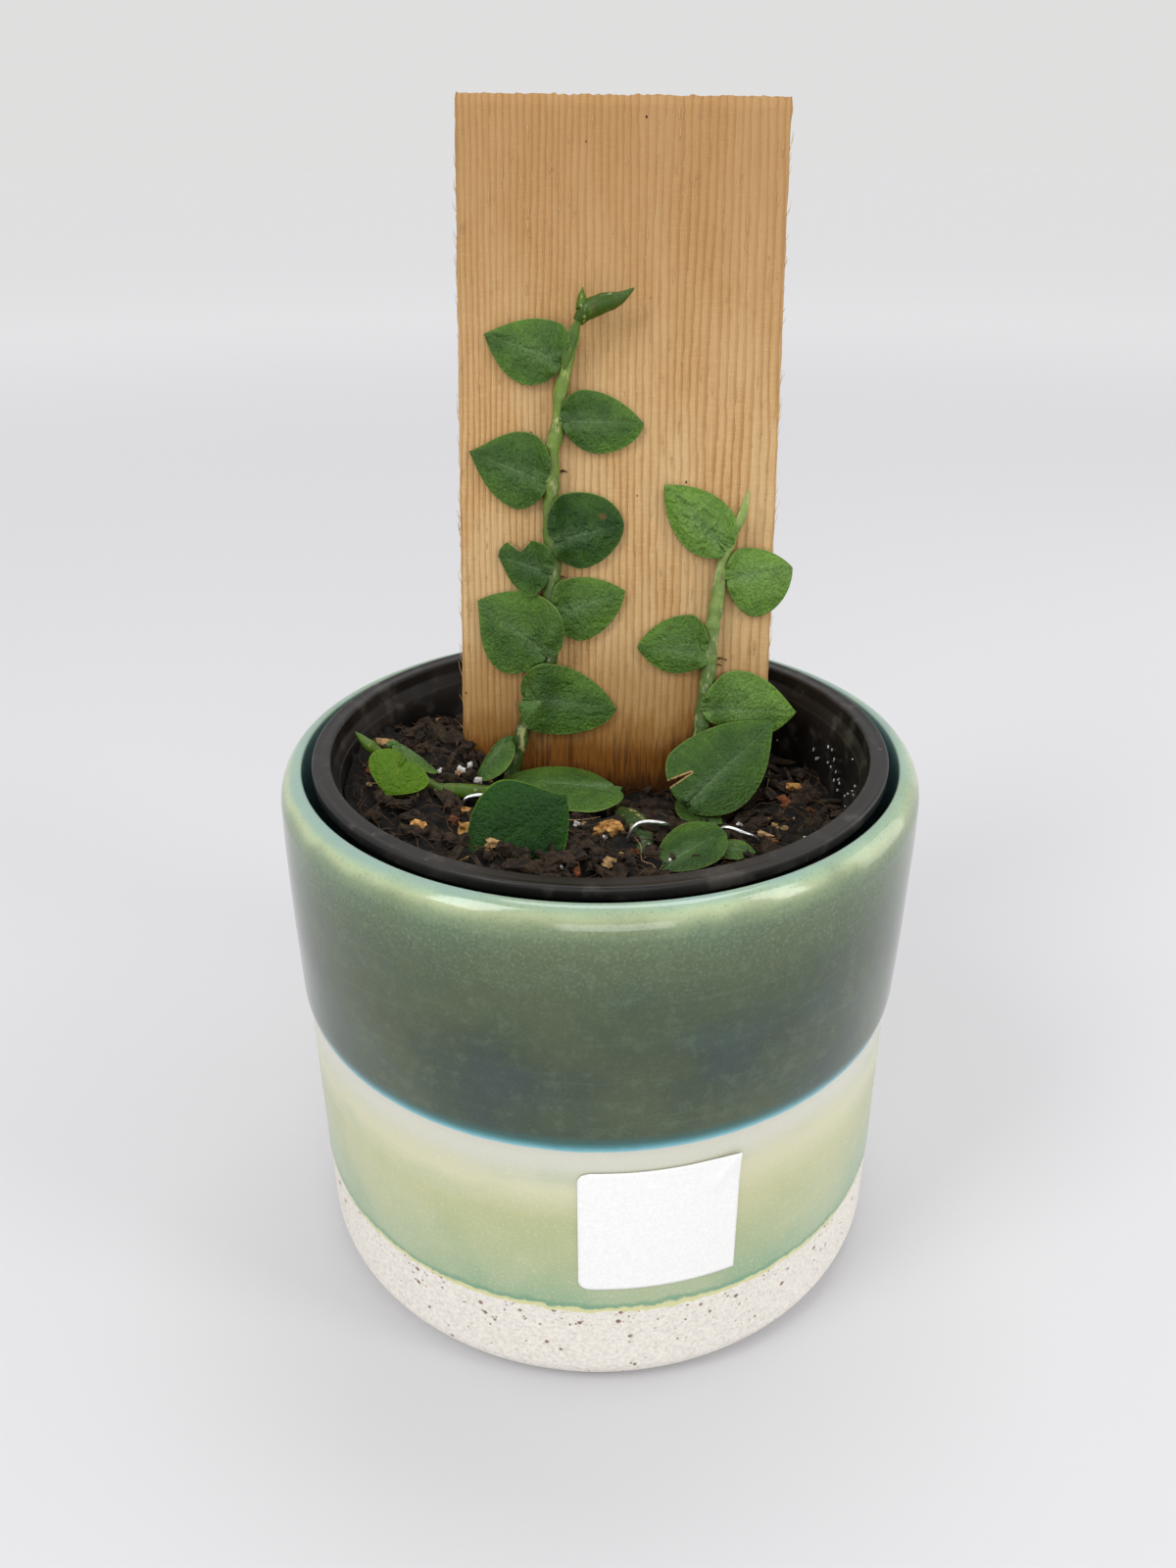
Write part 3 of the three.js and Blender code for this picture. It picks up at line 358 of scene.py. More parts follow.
class Field:
    """A value that varies over a surface. Fields and numbers go together by + - * and /."""

    def __init__(self, shader, socket):
        self.shader = shader
        self.socket = socket

    def __add__(self, other):
        return self.shader.math("ADD", self, other)

    def __sub__(self, other):
        return self.shader.math("SUBTRACT", self, other)

    def __mul__(self, other):
        return self.shader.math("MULTIPLY", self, other)

    def __truediv__(self, other):
        return self.shader.math("DIVIDE", self, other)


class Shader:
    """A node material that is built by short calls. Colours are given from 0 to 255."""

    def __init__(self, name, **principled):
        self.material = bpy.data.materials.new(name)
        self.material.use_nodes = True
        self.tree = self.material.node_tree
        self.surface = self.tree.nodes["Principled BSDF"]
        self.set(**principled)

    def put(self, socket, value):
        if isinstance(value, Field):
            self.tree.links.new(value.socket, socket)
        elif socket.type == "RGBA":
            socket.default_value = (*linear(value), 1)
        else:
            socket.default_value = value

    def set(self, **values):
        for key, value in values.items():
            self.put(self.surface.inputs[key.replace("_", " ")], value)

    def node(self, kind, inputs, output=0, **settings):
        """A node with its inputs filled in, and one of its outputs as a field."""
        node = self.tree.nodes.new("ShaderNode" + kind)
        for key, value in settings.items():
            setattr(node, key, value)
        for key, value in inputs.items():
            self.put(node.inputs[key], value)
        return Field(self, node.outputs[output])

    def attribute(self, name, output="Fac"):
        return self.node("Attribute", {}, output, attribute_name=name)

    def place(self):
        return self.node("TexCoord", {}, "Object")

    def stretch(self, vector, scale):
        return self.node("Mapping", {"Vector": vector, "Scale": scale}, "Vector")

    def part(self, vector, axis):
        return self.node("SeparateXYZ", {0: vector}, axis)

    def length(self, vector):
        return self.node("VectorMath", {0: vector}, "Value", operation="LENGTH")

    def noise(self, vector, scale, detail=3, roughness=0.55):
        inputs = {"Vector": vector, "Scale": scale, "Detail": detail, "Roughness": roughness}
        return self.node("TexNoise", inputs, "Fac")

    def cells(self, vector, scale):
        return self.node("TexVoronoi", {"Vector": vector, "Scale": scale}, "Distance")

    def math(self, operation, *values, clamp=False):
        return self.node("Math", dict(enumerate(values)), operation=operation, use_clamp=clamp)

    def remap(self, value, low, high, to_low=0, to_high=1):
        """A smooth step of a value."""
        inputs = {"Value": value, "From Min": low, "From Max": high, "To Min": to_low, "To Max": to_high}
        return self.node("MapRange", inputs, interpolation_type="SMOOTHSTEP")

    def ramp(self, value, stops, low=0, high=1):
        """A colour by value, from stops of (value, colour) between low and high."""
        span = high - low
        field = self.node("ValToRGB", {0: (value - low) / span}, "Color")
        elements = field.socket.node.color_ramp.elements
        while len(elements) < len(stops):
            elements.new(0.5)
        for element, (position, colour) in zip(elements, stops):
            element.position = (position - low) / span
            element.color = (*linear(colour), 1)
        return field

    def mix(self, share, a, b):
        return self.node("Mix", {0: share, 6: a, 7: b}, 2, data_type="RGBA")

    def layers(self, base, *rows):
        """A colour with others laid on it, each by a row that ends in its colour.

        A row starts with its share, or with a field and the low, high and share of a smooth step."""
        for *step, colour in rows:
            share = step[0] if len(step) == 1 else self.remap(*step[:3], 0, step[3])
            base = self.mix(share, base, colour)
        return base

    def bump(self, height, distance, strength=1):
        inputs = {"Height": height, "Distance": distance * MM, "Strength": strength}
        self.set(Normal=self.node("Bump", inputs))


def linear(colour):
    """A colour from 0 to 255, as seen on a screen, in the linear values that a shader takes."""
    return tuple((c / 255 / 12.92) if c < 10 else (((c / 255 + 0.055) / 1.055) ** 2.4) for c in colour)


# Materials

# How the cedar's rings widen across the board
RING_GROWTH = 0.0101

# Glaze colours by height in millimetres. In the upper ramp, the pale cream band near 148.3 mm on the rim's
# rounding is partly the glaze's colour and partly a painted highlight of the key light.
UPPER_GLAZE_AND_RIM_HIGHLIGHT = [(86, (44, 88, 86)), (89, (48, 65, 48)), (112, (47, 62, 44)), (128, (56, 73, 50)),
               (138, (74, 92, 66)), (143, (90, 110, 82)), (146, (124, 142, 108)),
               (148.3, (172, 184, 144)), (149.6, (156, 180, 148)), (150.6, (142, 170, 146))]
LOWER_GLAZE = [(30, (130, 162, 128)), (36, (146, 170, 134)), (46, (164, 176, 134)),
               (60, (176, 181, 134)), (70, (202, 201, 168)), (80, (193, 196, 181))]
SEAM_GLAZE = [(83.2, (206, 210, 198)), (84, (136, 186, 194)), (84.9, (98, 164, 178)),
              (85.9, (60, 124, 128)), (87.2, (42, 88, 86)), (90, (54, 72, 56))]
GLAZE_SPAN = (0, 160)
SEAM_SPAN = (80, 90)

# How light goes into leaves and stems
FLESH = {"Subsurface_Weight": 0.04, "Subsurface_Radius": (0.2, 0.5, 0.1), "Subsurface_Scale": 0.002}


def glaze_material():
    """Layered glaze over stoneware, set by height on the pot in millimetres, with a painted highlight in
    the cream band on the rim's rounding.
    """
    shader = Shader("glaze", Coat_Weight=0.15, Coat_Roughness=0.06, Specular_IOR_Level=0.5)
    place = shader.place()
    height = shader.part(place, 2) * 1000
    radius = shader.length(shader.stretch(place, (1000, 1000, 0)))
    cloud = shader.noise(place, 30, 3, 0.5)
    drift = shader.noise(place, 90, 4, 0.6)
    mottle = shader.noise(place, 260, 5, 0.68)
    crackle = shader.noise(place, 1300, 4, 0.7)
    smear = shader.noise(shader.stretch(place, (1, 1, 2.2)), 26, 3, 0.55)
    throwing = shader.noise(shader.stretch(place, (1, 1, 14)), 40, 3, 0.6)
    sway = (drift - 0.5) * 3
    deep = shader.remap(cloud, 0.46, 0.34) * shader.remap(height, 128, 106, 0, 0.5)
    near_lip = shader.remap(height, 120, 146, 0.04, 0.24)
    brim = shader.remap(radius, 82.4, 80.2) * shader.remap(height, 147, 149)
    inner = shader.remap(radius, 80.4, 79.4) * shader.remap(height, 149.8, 149)
    # The upper ramp's cream band near 148.3 mm is partly glaze colour and partly a painted highlight of the
    # key light.
    upper = shader.layers(shader.ramp(height + sway, UPPER_GLAZE_AND_RIM_HIGHLIGHT, *GLAZE_SPAN),
                          (cloud, 0.42, 0.66, 0.3, (88, 96, 60)),
                          (smear, 0.5, 0.7, 0.35, (56, 78, 76)),
                          (throwing, 0.5, 0.72, 0.07, (120, 138, 112)),
                          (mottle, 0.48, 0.7, 0.16, (112, 130, 106)),
                          (deep, (40, 54, 58)),
                          (shader.remap(crackle, 0.5, 0.66) * near_lip, (150, 170, 138)),
                          (shader.remap(crackle, 0.46, 0.34) * near_lip, (40, 60, 50)),
                          (brim * shader.remap(cloud, 0.62, 0.36, 0.2, 0.75), (128, 154, 150)),
                          (inner, (116, 156, 158)))
    lower = shader.layers(shader.ramp(height + sway * 0.8, LOWER_GLAZE, *GLAZE_SPAN),
                          (cloud, 0.4, 0.66, 0.3, (206, 202, 166)),
                          (smear, 0.5, 0.7, 0.3, (150, 172, 138)),
                          (height, 74, 80, 0.8, (204, 203, 190)),
                          (crackle, 0.5, 0.68, 0.22, (226, 224, 196)))
    seam = height + (mottle - 0.5) * 0.9
    in_seam = shader.remap(seam, 83.4, 84.2) * shader.remap(seam, 89.8, 86.2)
    edge = height + (drift - 0.5) * 3.2 + (mottle - 0.5) * 3.2
    glaze = shader.layers(lower, (height, 85.5, 86.5, 1, upper),
                          (in_seam, shader.ramp(seam, SEAM_GLAZE, *SEAM_SPAN)),
                          (edge, 33, 31, 0.75, (96, 148, 120)),
                          (edge, 31.2, 30.2, 0.85, (220, 214, 158)))
    glazed = shader.remap(edge, 29, 29.4)
    grit = shader.noise(place, 900, 3, 0.6)
    stone = shader.ramp(grit, [(0.3, (206, 201, 193)), (0.6, (232, 227, 218))])
    crowd = shader.noise(place, 170, 3, 0.6) + shader.remap(height, 8, 29, -0.04, 0.07)
    for scale, wide, low in ((250, 0.22, 0.515), (560, 0.26, 0.565)):
        speck = shader.remap(shader.cells(place, scale), wide, wide * 0.55)
        stone = shader.mix(speck * shader.remap(crowd, low, low + 0.04, 0, 0.85), stone, (108, 62, 46))
    gloss = shader.remap(height, 85.5, 87, 0.26, 0.13) + shader.remap(glazed, 0.9, 0.1, 0, 0.6)
    shader.set(Base_Color=shader.mix(glazed, stone, glaze), Roughness=gloss)
    shader.bump(shader.mix(glazed, grit, drift * 0.2), 0.35, 0.6)
    return shader.material


def plastic_material():
    """Dark plastic with a little dust."""
    shader = Shader("nursery_plastic", Specular_IOR_Level=0.3)
    place = shader.place()
    film = shader.noise(shader.stretch(place, (1, 1, 0.4)), 35, 3, 0.6)
    colour = shader.layers((20, 18, 17), (film, 0.35, 0.7, 1, (36, 33, 31)),
                           (shader.noise(place, 120, 3, 0.6), 0.52, 0.7, 0.2, (110, 104, 96)),
                           (shader.noise(place, 260, 6, 0.75), 0.64, 0.72, 0.55, (150, 140, 126)))
    shader.set(Base_Color=colour, Roughness=shader.remap(film, 0.3, 0.7, 0.34, 0.5))
    shader.bump(film, 0.1, 0.3)
    return shader.material


def cedar_material():
    """Sawn cedar, by place on the plank in millimetres: across, up and out from its front."""
    shader = Shader("cedar", Specular_IOR_Level=0.1)
    plank = shader.attribute("plank", "Vector")
    up = shader.part(plank, 1)

    def grain(stretch, detail, roughness):
        return shader.noise(shader.stretch(plank, stretch), 1, detail, roughness)

    strands = grain((3.2, 0.05, 3.2), 4, 0.65)
    wander = grain((0.05, 0.009, 0.3), 3, 0.5)
    fuzz = grain((1.5, 0.14, 1.5), 4, 0.7)
    saw = grain((0.25, 1.7, 0.3), 3, 0.6)
    patch = grain((0.07, 0.025, 0.07), 3, 0.5)
    chance = grain((0.06, 0.05, 0.06), 2, 0.5)
    waves = grain((0.11, 0.03, 0.09), 4, 0.6)
    threads = grain((0.9, 0.03, 0.9), 4, 0.6)
    spacing = shader.math("LOGARITHM", shader.part(plank, 0) * RING_GROWTH + 2.05, math.e) / RING_GROWTH
    ring = shader.math("FRACT", spacing + wander * 2.6 + fuzz * 0.55)
    late = shader.remap(ring, 0.42, 0.9) * shader.remap(ring, 1, 0.94)
    speck = shader.remap(shader.cells(shader.stretch(plank, (0.14, 0.1, 0.14)), 1), 0.055, 0.03)
    damp = up + (waves - 0.5) * 16 + (threads - 0.5) * 18
    dark_threads = shader.remap(threads, 0.5, 0.6) * shader.remap(damp, 0, -12) * 0.65
    colour = shader.layers((203, 170, 123), (patch, 0.38, 0.62, 1, (194, 157, 107)),
                           (saw, 0.45, 0.7, 0.35, (214, 186, 139)),
                           (late * shader.remap(patch, 0.3, 0.7, 0.35, 0.68), (146, 101, 56)),
                           (strands, 0.45, 0.7, 0.4, (164, 121, 72)),
                           (strands, 0.4, 0.3, 0.5, (222, 192, 146)),
                           (fuzz, 0.62, 0.72, 0.5, (224, 198, 156)),
                           (up, 50, 150, 0.62, (160, 119, 74)),
                           (speck * shader.remap(chance, 0.5, 0.55), (52, 32, 20)),
                           (damp, 22, 2, 0.52, (138, 98, 44)),
                           (damp, 0, -8, 0.6, (128, 84, 28)),
                           (damp, -9, -15, 0.85, (112, 66, 14)),
                           (damp, -18, -25, 0.95, (58, 32, 9)),
                           (dark_threads, (52, 26, 6)))
    shader.set(Base_Color=colour, Roughness=shader.remap(damp, 0, -24, 0.85, 0.55))
    shader.bump(strands * 0.8 + saw * 0.45 - late * 0.5, 0.35, 0.7)
    return shader.material


def leaf_material(name, deep, bright, fresh, haze_colour, margin, gloss=0.4, specular=0.27, wrinkles=0.6):
    """A leaf, by place on the blade: share along, distance from the midrib, share out to the edge."""
    shader = Shader(name, Specular_IOR_Level=specular, **FLESH)
    leaf = shader.attribute("leaf", "Vector")
    along = shader.part(leaf, 0)
    side = shader.math("ABSOLUTE", shader.part(leaf, 1))
    out = shader.part(leaf, 2)
    place = shader.place()
    wrinkle = shader.noise(place, 1250, 3, 0.65)
    ridges = shader.math("ABSOLUTE", shader.noise(place, 540, 2, 0.5) - 0.5)
    blotch = shader.noise(place, 170, 4, 0.6)
    patch = shader.noise(place, 75, 2, 0.5)
    tone = shader.attribute("tone")
    freshness = shader.math("ADD", 0.25, tone, clamp=True)
    band = shader.remap(out + patch, 0.8, 1.45) * shader.remap(along, 0.1, 0.7, 0.2, 0.7)
    haze = shader.math("SUBTRACT", 1, side / (blotch * 4 + 1.2), clamp=True)
    rib = shader.remap(side, 0.4, 0.1) * shader.remap(along, 0.95, 0.3, 0.1, 0.4)
    glint_dots = shader.remap(shader.cells(place, 700), 0.22, 0.1)
    few = shader.remap(shader.noise(place, 330, 2, 0.5), 0.66, 0.7, 0, 0.4)
    colour = shader.layers(deep, (tone, bright),
                           (shader.remap(blotch, 0.42, 0.66, 0, 0.5) * freshness, fresh),
                           (band * freshness, fresh),
                           (patch, 0.5, 0.36, 0.3, deep),
                           (haze * shader.remap(along, 0.9, 0.1, 0, 0.42), haze_colour),
                           (rib, haze_colour),
                           # Painted shade: darker in the low parts of the wrinkle bump and along its fine
                           # wrinkle lines.
                           (wrinkle, 0.5, 0.32, 0.35, deep),
                           (ridges, 0.05, 0, 0.3, deep),
                           (out, 0.962, 0.996, 0.65, margin),
                           # Painted highlight: pale glint specks in a few patches of the blade.
                           (glint_dots * few, (150, 160, 120)),
                           (shader.attribute("scar"), 0.35, 0.6, 1, (176, 138, 90)),
                           (shader.attribute("spot"), (92, 74, 36)))
    shader.set(Base_Color=colour, Roughness=shader.remap(wrinkle, 0.3, 0.7, gloss - 0.06, gloss + 0.12))
    shader.bump(wrinkle - ridges * 2.6, wrinkles)
    return shader.material


def stem_material(name, light, dark, fleck):
    """A waxy stem with pale papery patches along it, darker further down."""
    shader = Shader(name, Specular_IOR_Level=0.35, Roughness=0.42, **FLESH)
    place = shader.place()
    streaks = shader.noise(shader.stretch(place, (1, 1, 0.22)), 620, 4, 0.6)
    papery = shader.noise(shader.stretch(place, (1, 1, 0.4)), 300, 3, 0.7)
    colour = shader.layers(light, (shader.attribute("down"), 0.05, 0.75, 1, dark),
                           (shader.noise(place, 210, 3, 0.6), 0.4, 0.7, 0.5, dark),
                           (streaks, 0.56, 0.72, 0.5, fleck),
                           (papery, 0.57, 0.67, 0.6, (186, 184, 122)),
                           (papery, 0.36, 0.3, 0.6, (96, 74, 44)))
    shader.set(Base_Color=colour)
    shader.bump(streaks + papery, 0.25, 0.7)
    return shader.material


def grain_material(name, low, high, size, relief=0.4):
    """A rough mineral or bark surface between two colours."""
    shader = Shader(name, Roughness=0.9, Specular_IOR_Level=0.25)
    grain = shader.noise(shader.place(), size, 5, 0.7)
    shader.set(Base_Color=shader.layers(low, (grain, 0.35, 0.68, 1, high)))
    shader.bump(grain, relief, 0.9)
    return shader.material


def wire_material():
    """Bright galvanised wire."""
    shader = Shader("wire", Base_Color=(222, 224, 226), Metallic=1, Roughness=0.28)
    shader.bump(shader.noise(shader.place(), 1500, 2), 0.05, 0.4)
    return shader.material


def paper_material():
    """Blank white label paper."""
    shader = Shader("label_paper", Roughness=0.55, Specular_IOR_Level=0.4)
    fibre = shader.noise(shader.place(), 1200, 3)
    shader.set(Base_Color=shader.layers((233, 233, 232), (fibre, 0.3, 0.7, 1, (240, 240, 239))))
    shader.bump(fibre, 0.04, 0.4)
    return shader.material


GLAZE = glaze_material()
PLASTIC = plastic_material()
CEDAR = cedar_material()
LEAF = leaf_material("leaf", (25, 60, 9), (108, 144, 66), (96, 136, 38), (106, 132, 90), (126, 150, 72))
GLOSSY_LEAF = leaf_material("glossy_leaf", (3, 44, 0), (50, 92, 14), (34, 86, 2), (40, 84, 14),
                            (96, 136, 20), 0.36, 0.2, 0.5)
LIME_LEAF = leaf_material("lime_leaf", (52, 90, 2), (88, 120, 6), (90, 124, 6), (100, 122, 30),
                          (130, 150, 50), 0.4, 0.2)
STEM = stem_material("stem", (110, 134, 48), (54, 78, 28), (176, 176, 130))
RIGHT_GREEN = stem_material("right_stem", (128, 150, 74), (64, 92, 40), (196, 196, 156))
LIME_STEM = stem_material("lime_stem", (66, 96, 2), (38, 64, 1), (104, 126, 20))
CREEPING = stem_material("creeping_stem", (60, 84, 32), (40, 62, 22), (128, 132, 84))
SOIL = grain_material("soil", (7, 6, 5), (30, 26, 21), 420)
BARK = grain_material("bark", (20, 15, 11), (62, 48, 34), 500)
RED_BARK = grain_material("red_bark", (58, 28, 14), (124, 72, 40), 500)
TAN_BITS = grain_material("tan_bits", (120, 90, 54), (190, 158, 112), 600)
GOLD_BITS = grain_material("gold_bits", (104, 62, 20), (206, 158, 92), 520, 0.6)
COIR = grain_material("coir", (38, 27, 18), (92, 68, 46), 900)
ROOT = grain_material("root", (62, 44, 28), (120, 92, 60), 900)
FIBRE = grain_material("wood_fibre", (176, 140, 92), (222, 192, 146), 700)
PERLITE = grain_material("perlite", (190, 186, 178), (228, 226, 220), 900)
WIRE = wire_material()
PAPER = paper_material()


# Board

def board_matrix():
    """The turn and place of the board's front: x across, y up, z out."""
    return (Matrix.Translation(BOARD_PLACE)
            @ Matrix.Rotation(math.radians(BOARD_TURN), 4, "Z")
            @ Matrix.Rotation(math.radians(90 - BOARD_LEAN), 4, "X")
            @ Matrix.Rotation(math.radians(BOARD_ROLL), 4, "Z"))


BOARD = np.array(board_matrix())


def transform(points, matrix):
    """Points turned and moved by a matrix of four rows."""
    points = np.asarray(points, float)
    return points @ matrix[:3, :3].T + matrix[:3, 3]


def cedar_board():
    """The plank, with raised grain and slightly worn, fuzzy edges."""
    across = np.linspace(-BOARD_WIDTH / 2, BOARD_WIDTH / 2, 179)
    up = np.linspace(-BOARD_DOWN, BOARD_UP, 90)
    out = np.linspace(-BOARD_THICKNESS, 0, 25)
    sheets = []

    def sheet(first, second, build, flip):
        a, b = np.meshgrid(first, second, indexing="ij")
        vertices = build(a.ravel(), b.ravel())
        wide = len(second)
        faces = []
        for i in range(len(first) - 1):
            for j in range(wide - 1):
                face = (i * wide + j, (i + 1) * wide + j, (i + 1) * wide + j + 1, i * wide + j + 1)
                faces.append(face[::-1] if flip else face)
        sheets.append((vertices, faces))

    half = BOARD_WIDTH / 2
    for level, flip in ((0, False), (-BOARD_THICKNESS, True)):
        sheet(across, up, lambda a, b: np.column_stack([a, b, np.full_like(a, level)]), flip)
    for edge, flip in ((-half, False), (half, True)):
        sheet(up, out, lambda a, b: np.column_stack([np.full_like(a, edge), a, b]), not flip)
    for end, flip in ((-BOARD_DOWN, False), (BOARD_UP, True)):
        sheet(across, out, lambda a, b: np.column_stack([a, np.full_like(a, end), b]), flip)
    plank, faces = combine(sheets)
    half_deep = BOARD_THICKNESS / 2
    sideways = plank[:, 0]
    deep = plank[:, 2] + half_deep
    inward = np.clip(half - EDGE_WEAR - np.abs(sideways), None, 0) * np.sign(sideways)
    down_in = np.clip(half_deep - EDGE_WEAR - np.abs(deep), None, 0) * np.sign(deep)
    both = (np.abs(inward) > 0.1) & (np.abs(down_in) > 0.1)
    wear = np.column_stack([inward, np.zeros(len(plank)), down_in]) * WORN_SHARE
    shape = plank + np.where(both[:, None], wear, 0)
    furrow = rough(plank * [1, 0.02, 1], 1.7, 5, 3)
    tear = rough(plank * [1, 0.35, 1], 1.1, 15, 3)
    broken_end = rough(plank, 1.3, 25, 2)
    face_out = np.abs(deep) > half_deep - 0.01
    side_out = np.abs(sideways) > half - 0.01
    top_out = plank[:, 1] > BOARD_UP - 0.01
    shape[:, 2] += np.where(face_out, np.sign(deep) * (0.13 * furrow - 0.15), 0)
    shape[:, 0] += np.where(side_out, np.sign(sideways) * (0.28 * tear - 0.2), 0)
    shape[:, 1] += np.where(top_out, 0.3 * broken_end - 0.3, 0)
    make_piece("cedar_board", transform(shape, BOARD), faces, CEDAR, "cedar", ["cedar_board"],
               {"plank": plank}, merge=True)


def board_fibres():
    """Torn strands on the board: hairs at its two edges, flecks and tufts on its front."""
    draw = random.Random(71)
    bodies = []
    half = BOARD_WIDTH / 2
    for _ in range(EDGE_HAIRS):
        side = draw.choice((-1, 1))
        up = draw.uniform(-10, BOARD_UP - 4)
        out = draw.uniform(-BOARD_THICKNESS + 0.6, -0.4)
        long = draw.uniform(1.5, 6)
        lift = draw.uniform(0.3, 1.1)
        path = [(side * (half - 0.4), up, out),
                (side * (half + lift * 0.5), up + long * 0.5, out + lift * 0.3),
                (side * (half + lift), up + long, out + draw.uniform(-0.5, 0.5))]
        bodies.append(tube(transform(path, BOARD), [0.09, 0.07, 0.03], 4, 5)[:2])
    for _ in range(FACE_FLECKS):
        across = draw.uniform(-half + 1, half - 1)
        up = draw.uniform(-6, BOARD_UP - 6)
        long = draw.uniform(1.2, 5)
        lean = draw.uniform(-0.5, 0.5)
        path = [(across, up, -0.15), (across + lean * 0.4, up + long * 0.5, 0.12),
                (across + lean, up + long, draw.uniform(0.1, 0.3))]
        bodies.append(tube(transform(path, BOARD), [0.06, 0.09, 0.03], 4, 5)[:2])
    make_piece("board_fibres", *combine(bodies), FIBRE, "cedar")


# Pots

def cover_pot():
    """The glazed pot, with a thick glaze edge low on its wall and a rim that leans a little."""
    low_wall = COVER_LOWER_RADIUS
    foot = low_wall - COVER_FOOT
    shoulder = COVER_STEP_Z + 24
    neck = COVER_STEP_Z + 46
    lip = COVER_LIP_INNER + 0.6
    corner = COVER_INNER - 0.6
    profile = [(0, 0)]
    profile += line((30, 0), (foot, 0), 3)
    profile += arc((foot, COVER_FOOT), COVER_FOOT, -90, 0, 12)
    profile += line((low_wall, 12), (low_wall, GLAZE_EDGE_Z), 6)
    profile += line((low_wall + 0.25, GLAZE_EDGE_Z + 0.5), (low_wall, 80), 14)
    profile += [(low_wall, 81), (low_wall + 0.15, 83.2), (COVER_RADIUS - 0.45, 85.2),
                (COVER_RADIUS - 0.1, 86.8)]
    profile += line((COVER_RADIUS, 88), (COVER_BULGE, shoulder), 6)
    profile += line((COVER_BULGE, shoulder), (COVER_BULGE, neck), 6)
    profile += line((COVER_BULGE, neck), (lip + COVER_LIP_ACROSS, COVER_TOP - COVER_LIP_DOWN), 4)
    profile += [(lip + COVER_LIP_ACROSS * math.cos(angle),
                 COVER_TOP + COVER_LIP_DOWN * (math.sin(angle) - 1))
                for angle in np.linspace(0, math.pi / 2, 19)]
    profile += arc((lip, COVER_TOP - 0.6), 0.6, 105, 180, 5)
    profile += line((COVER_LIP_INNER - 0.1, COVER_TOP - 2), (COVER_INNER, COVER_TOP - 16), 8)
    profile += line((COVER_INNER, COVER_TOP - 16), (corner, COVER_FLOOR + 9), 8)
    profile += [(corner, COVER_FLOOR + 9), (COVER_INNER - 2.4, COVER_FLOOR + 2.6),
                (COVER_INNER - 6, COVER_FLOOR), (0, COVER_FLOOR)]
    vertices, faces = lathe(profile, 256)
    wall = np.hypot(vertices[:, 0], vertices[:, 1])
    hollow = np.where((vertices[:, 2] > 10) & (wall > 82), 0.12 * rough(vertices, 34, 3, 2), 0)
    swell = 1 + (hollow - 0.12 * (hollow != 0)) / np.maximum(wall, 1)
    vertices[:, 0] *= swell
    vertices[:, 1] *= swell
    vertices[:, 0] += COVER_LEAN * np.clip(vertices[:, 2] - COVER_STEP_Z, 0, None)
    make_piece("cover_pot", vertices, faces, GLAZE, "glaze", ["cover_pot"])


def wall_radius(z):
    """Inner radius of the nursery pot's tapering wall at a height."""
    low = NURSERY_BOTTOM + NURSERY_WALL
    share = (z - low) / (NURSERY_LEDGE_Z - low)
    return NURSERY_BASE - NURSERY_WALL + (NURSERY_LEDGE - 0.7 - NURSERY_BASE + NURSERY_WALL) * share


def nursery_pot():
    """The plastic pot: rolled rim, two ledge lines inside and drain holes."""
    rim = NURSERY_RIM
    lip = NURSERY_LIP
    ledge = NURSERY_LEDGE
    ledge_z = NURSERY_LEDGE_Z
    top = NURSERY_TOP
    bottom = NURSERY_BOTTOM
    under = top - NURSERY_SKIRT
    low = bottom + NURSERY_WALL
    outer = wall_radius(ledge_z - 2) + NURSERY_WALL
    profile = [(0, bottom), (NURSERY_BASE - 1, bottom), (NURSERY_BASE, bottom + 1)]
    profile += line((NURSERY_BASE + 0.4, bottom + 6), (outer, ledge_z - 2), 10)
    profile += [(outer, ledge_z - 2), (ledge + NURSERY_WALL + 0.4, ledge_z + 1),
                (rim - NURSERY_WALL, under + 1.2), (rim - NURSERY_WALL + 0.2, under),
                (rim - 0.3, under), (rim - 0.05, under + 0.3)]
    profile += arc((rim - 0.9, top - 0.9), 0.9, 0, 90, 5)
    profile += line((rim - 1.6, top - 0.25), (lip + 1.6, top - 0.25), 2)
    profile += arc((lip + 1, top - 1), 1, 90, 180, 5)
    profile += [(lip - 0.1, top - 3.2), (ledge + 0.9, ledge_z + 2.6), (ledge + 0.2, ledge_z + 2.1),
                (ledge, ledge_z + 0.5), (ledge - 0.5, ledge_z), (wall_radius(ledge_z), ledge_z - 0.3)]
    profile += line((wall_radius(140), 140), (NURSERY_BASE - NURSERY_WALL, low), 10)
    profile += [(NURSERY_BASE - NURSERY_WALL, low), (0, low)]
    vertices, faces = lathe(profile, 192, NURSERY_OFFSET)
    pot = make_piece("nursery_pot", vertices, faces, PLASTIC, "nursery_plastic", ["nursery_pot"])
    holes = []
    for i in range(DRAIN_HOLES):
        angle = 2 * math.pi * i / DRAIN_HOLES
        middle = (NURSERY_OFFSET[0] + DRAIN_CIRCLE * math.cos(angle),
                  NURSERY_OFFSET[1] + DRAIN_CIRCLE * math.sin(angle))
        corners = [(0, bottom - 3), (DRAIN_RADIUS, bottom - 3), (DRAIN_RADIUS, low + 3), (0, low + 3)]
        holes.append(lathe(corners, 24, middle))
    cut_away(pot, *combine(holes))


# Label

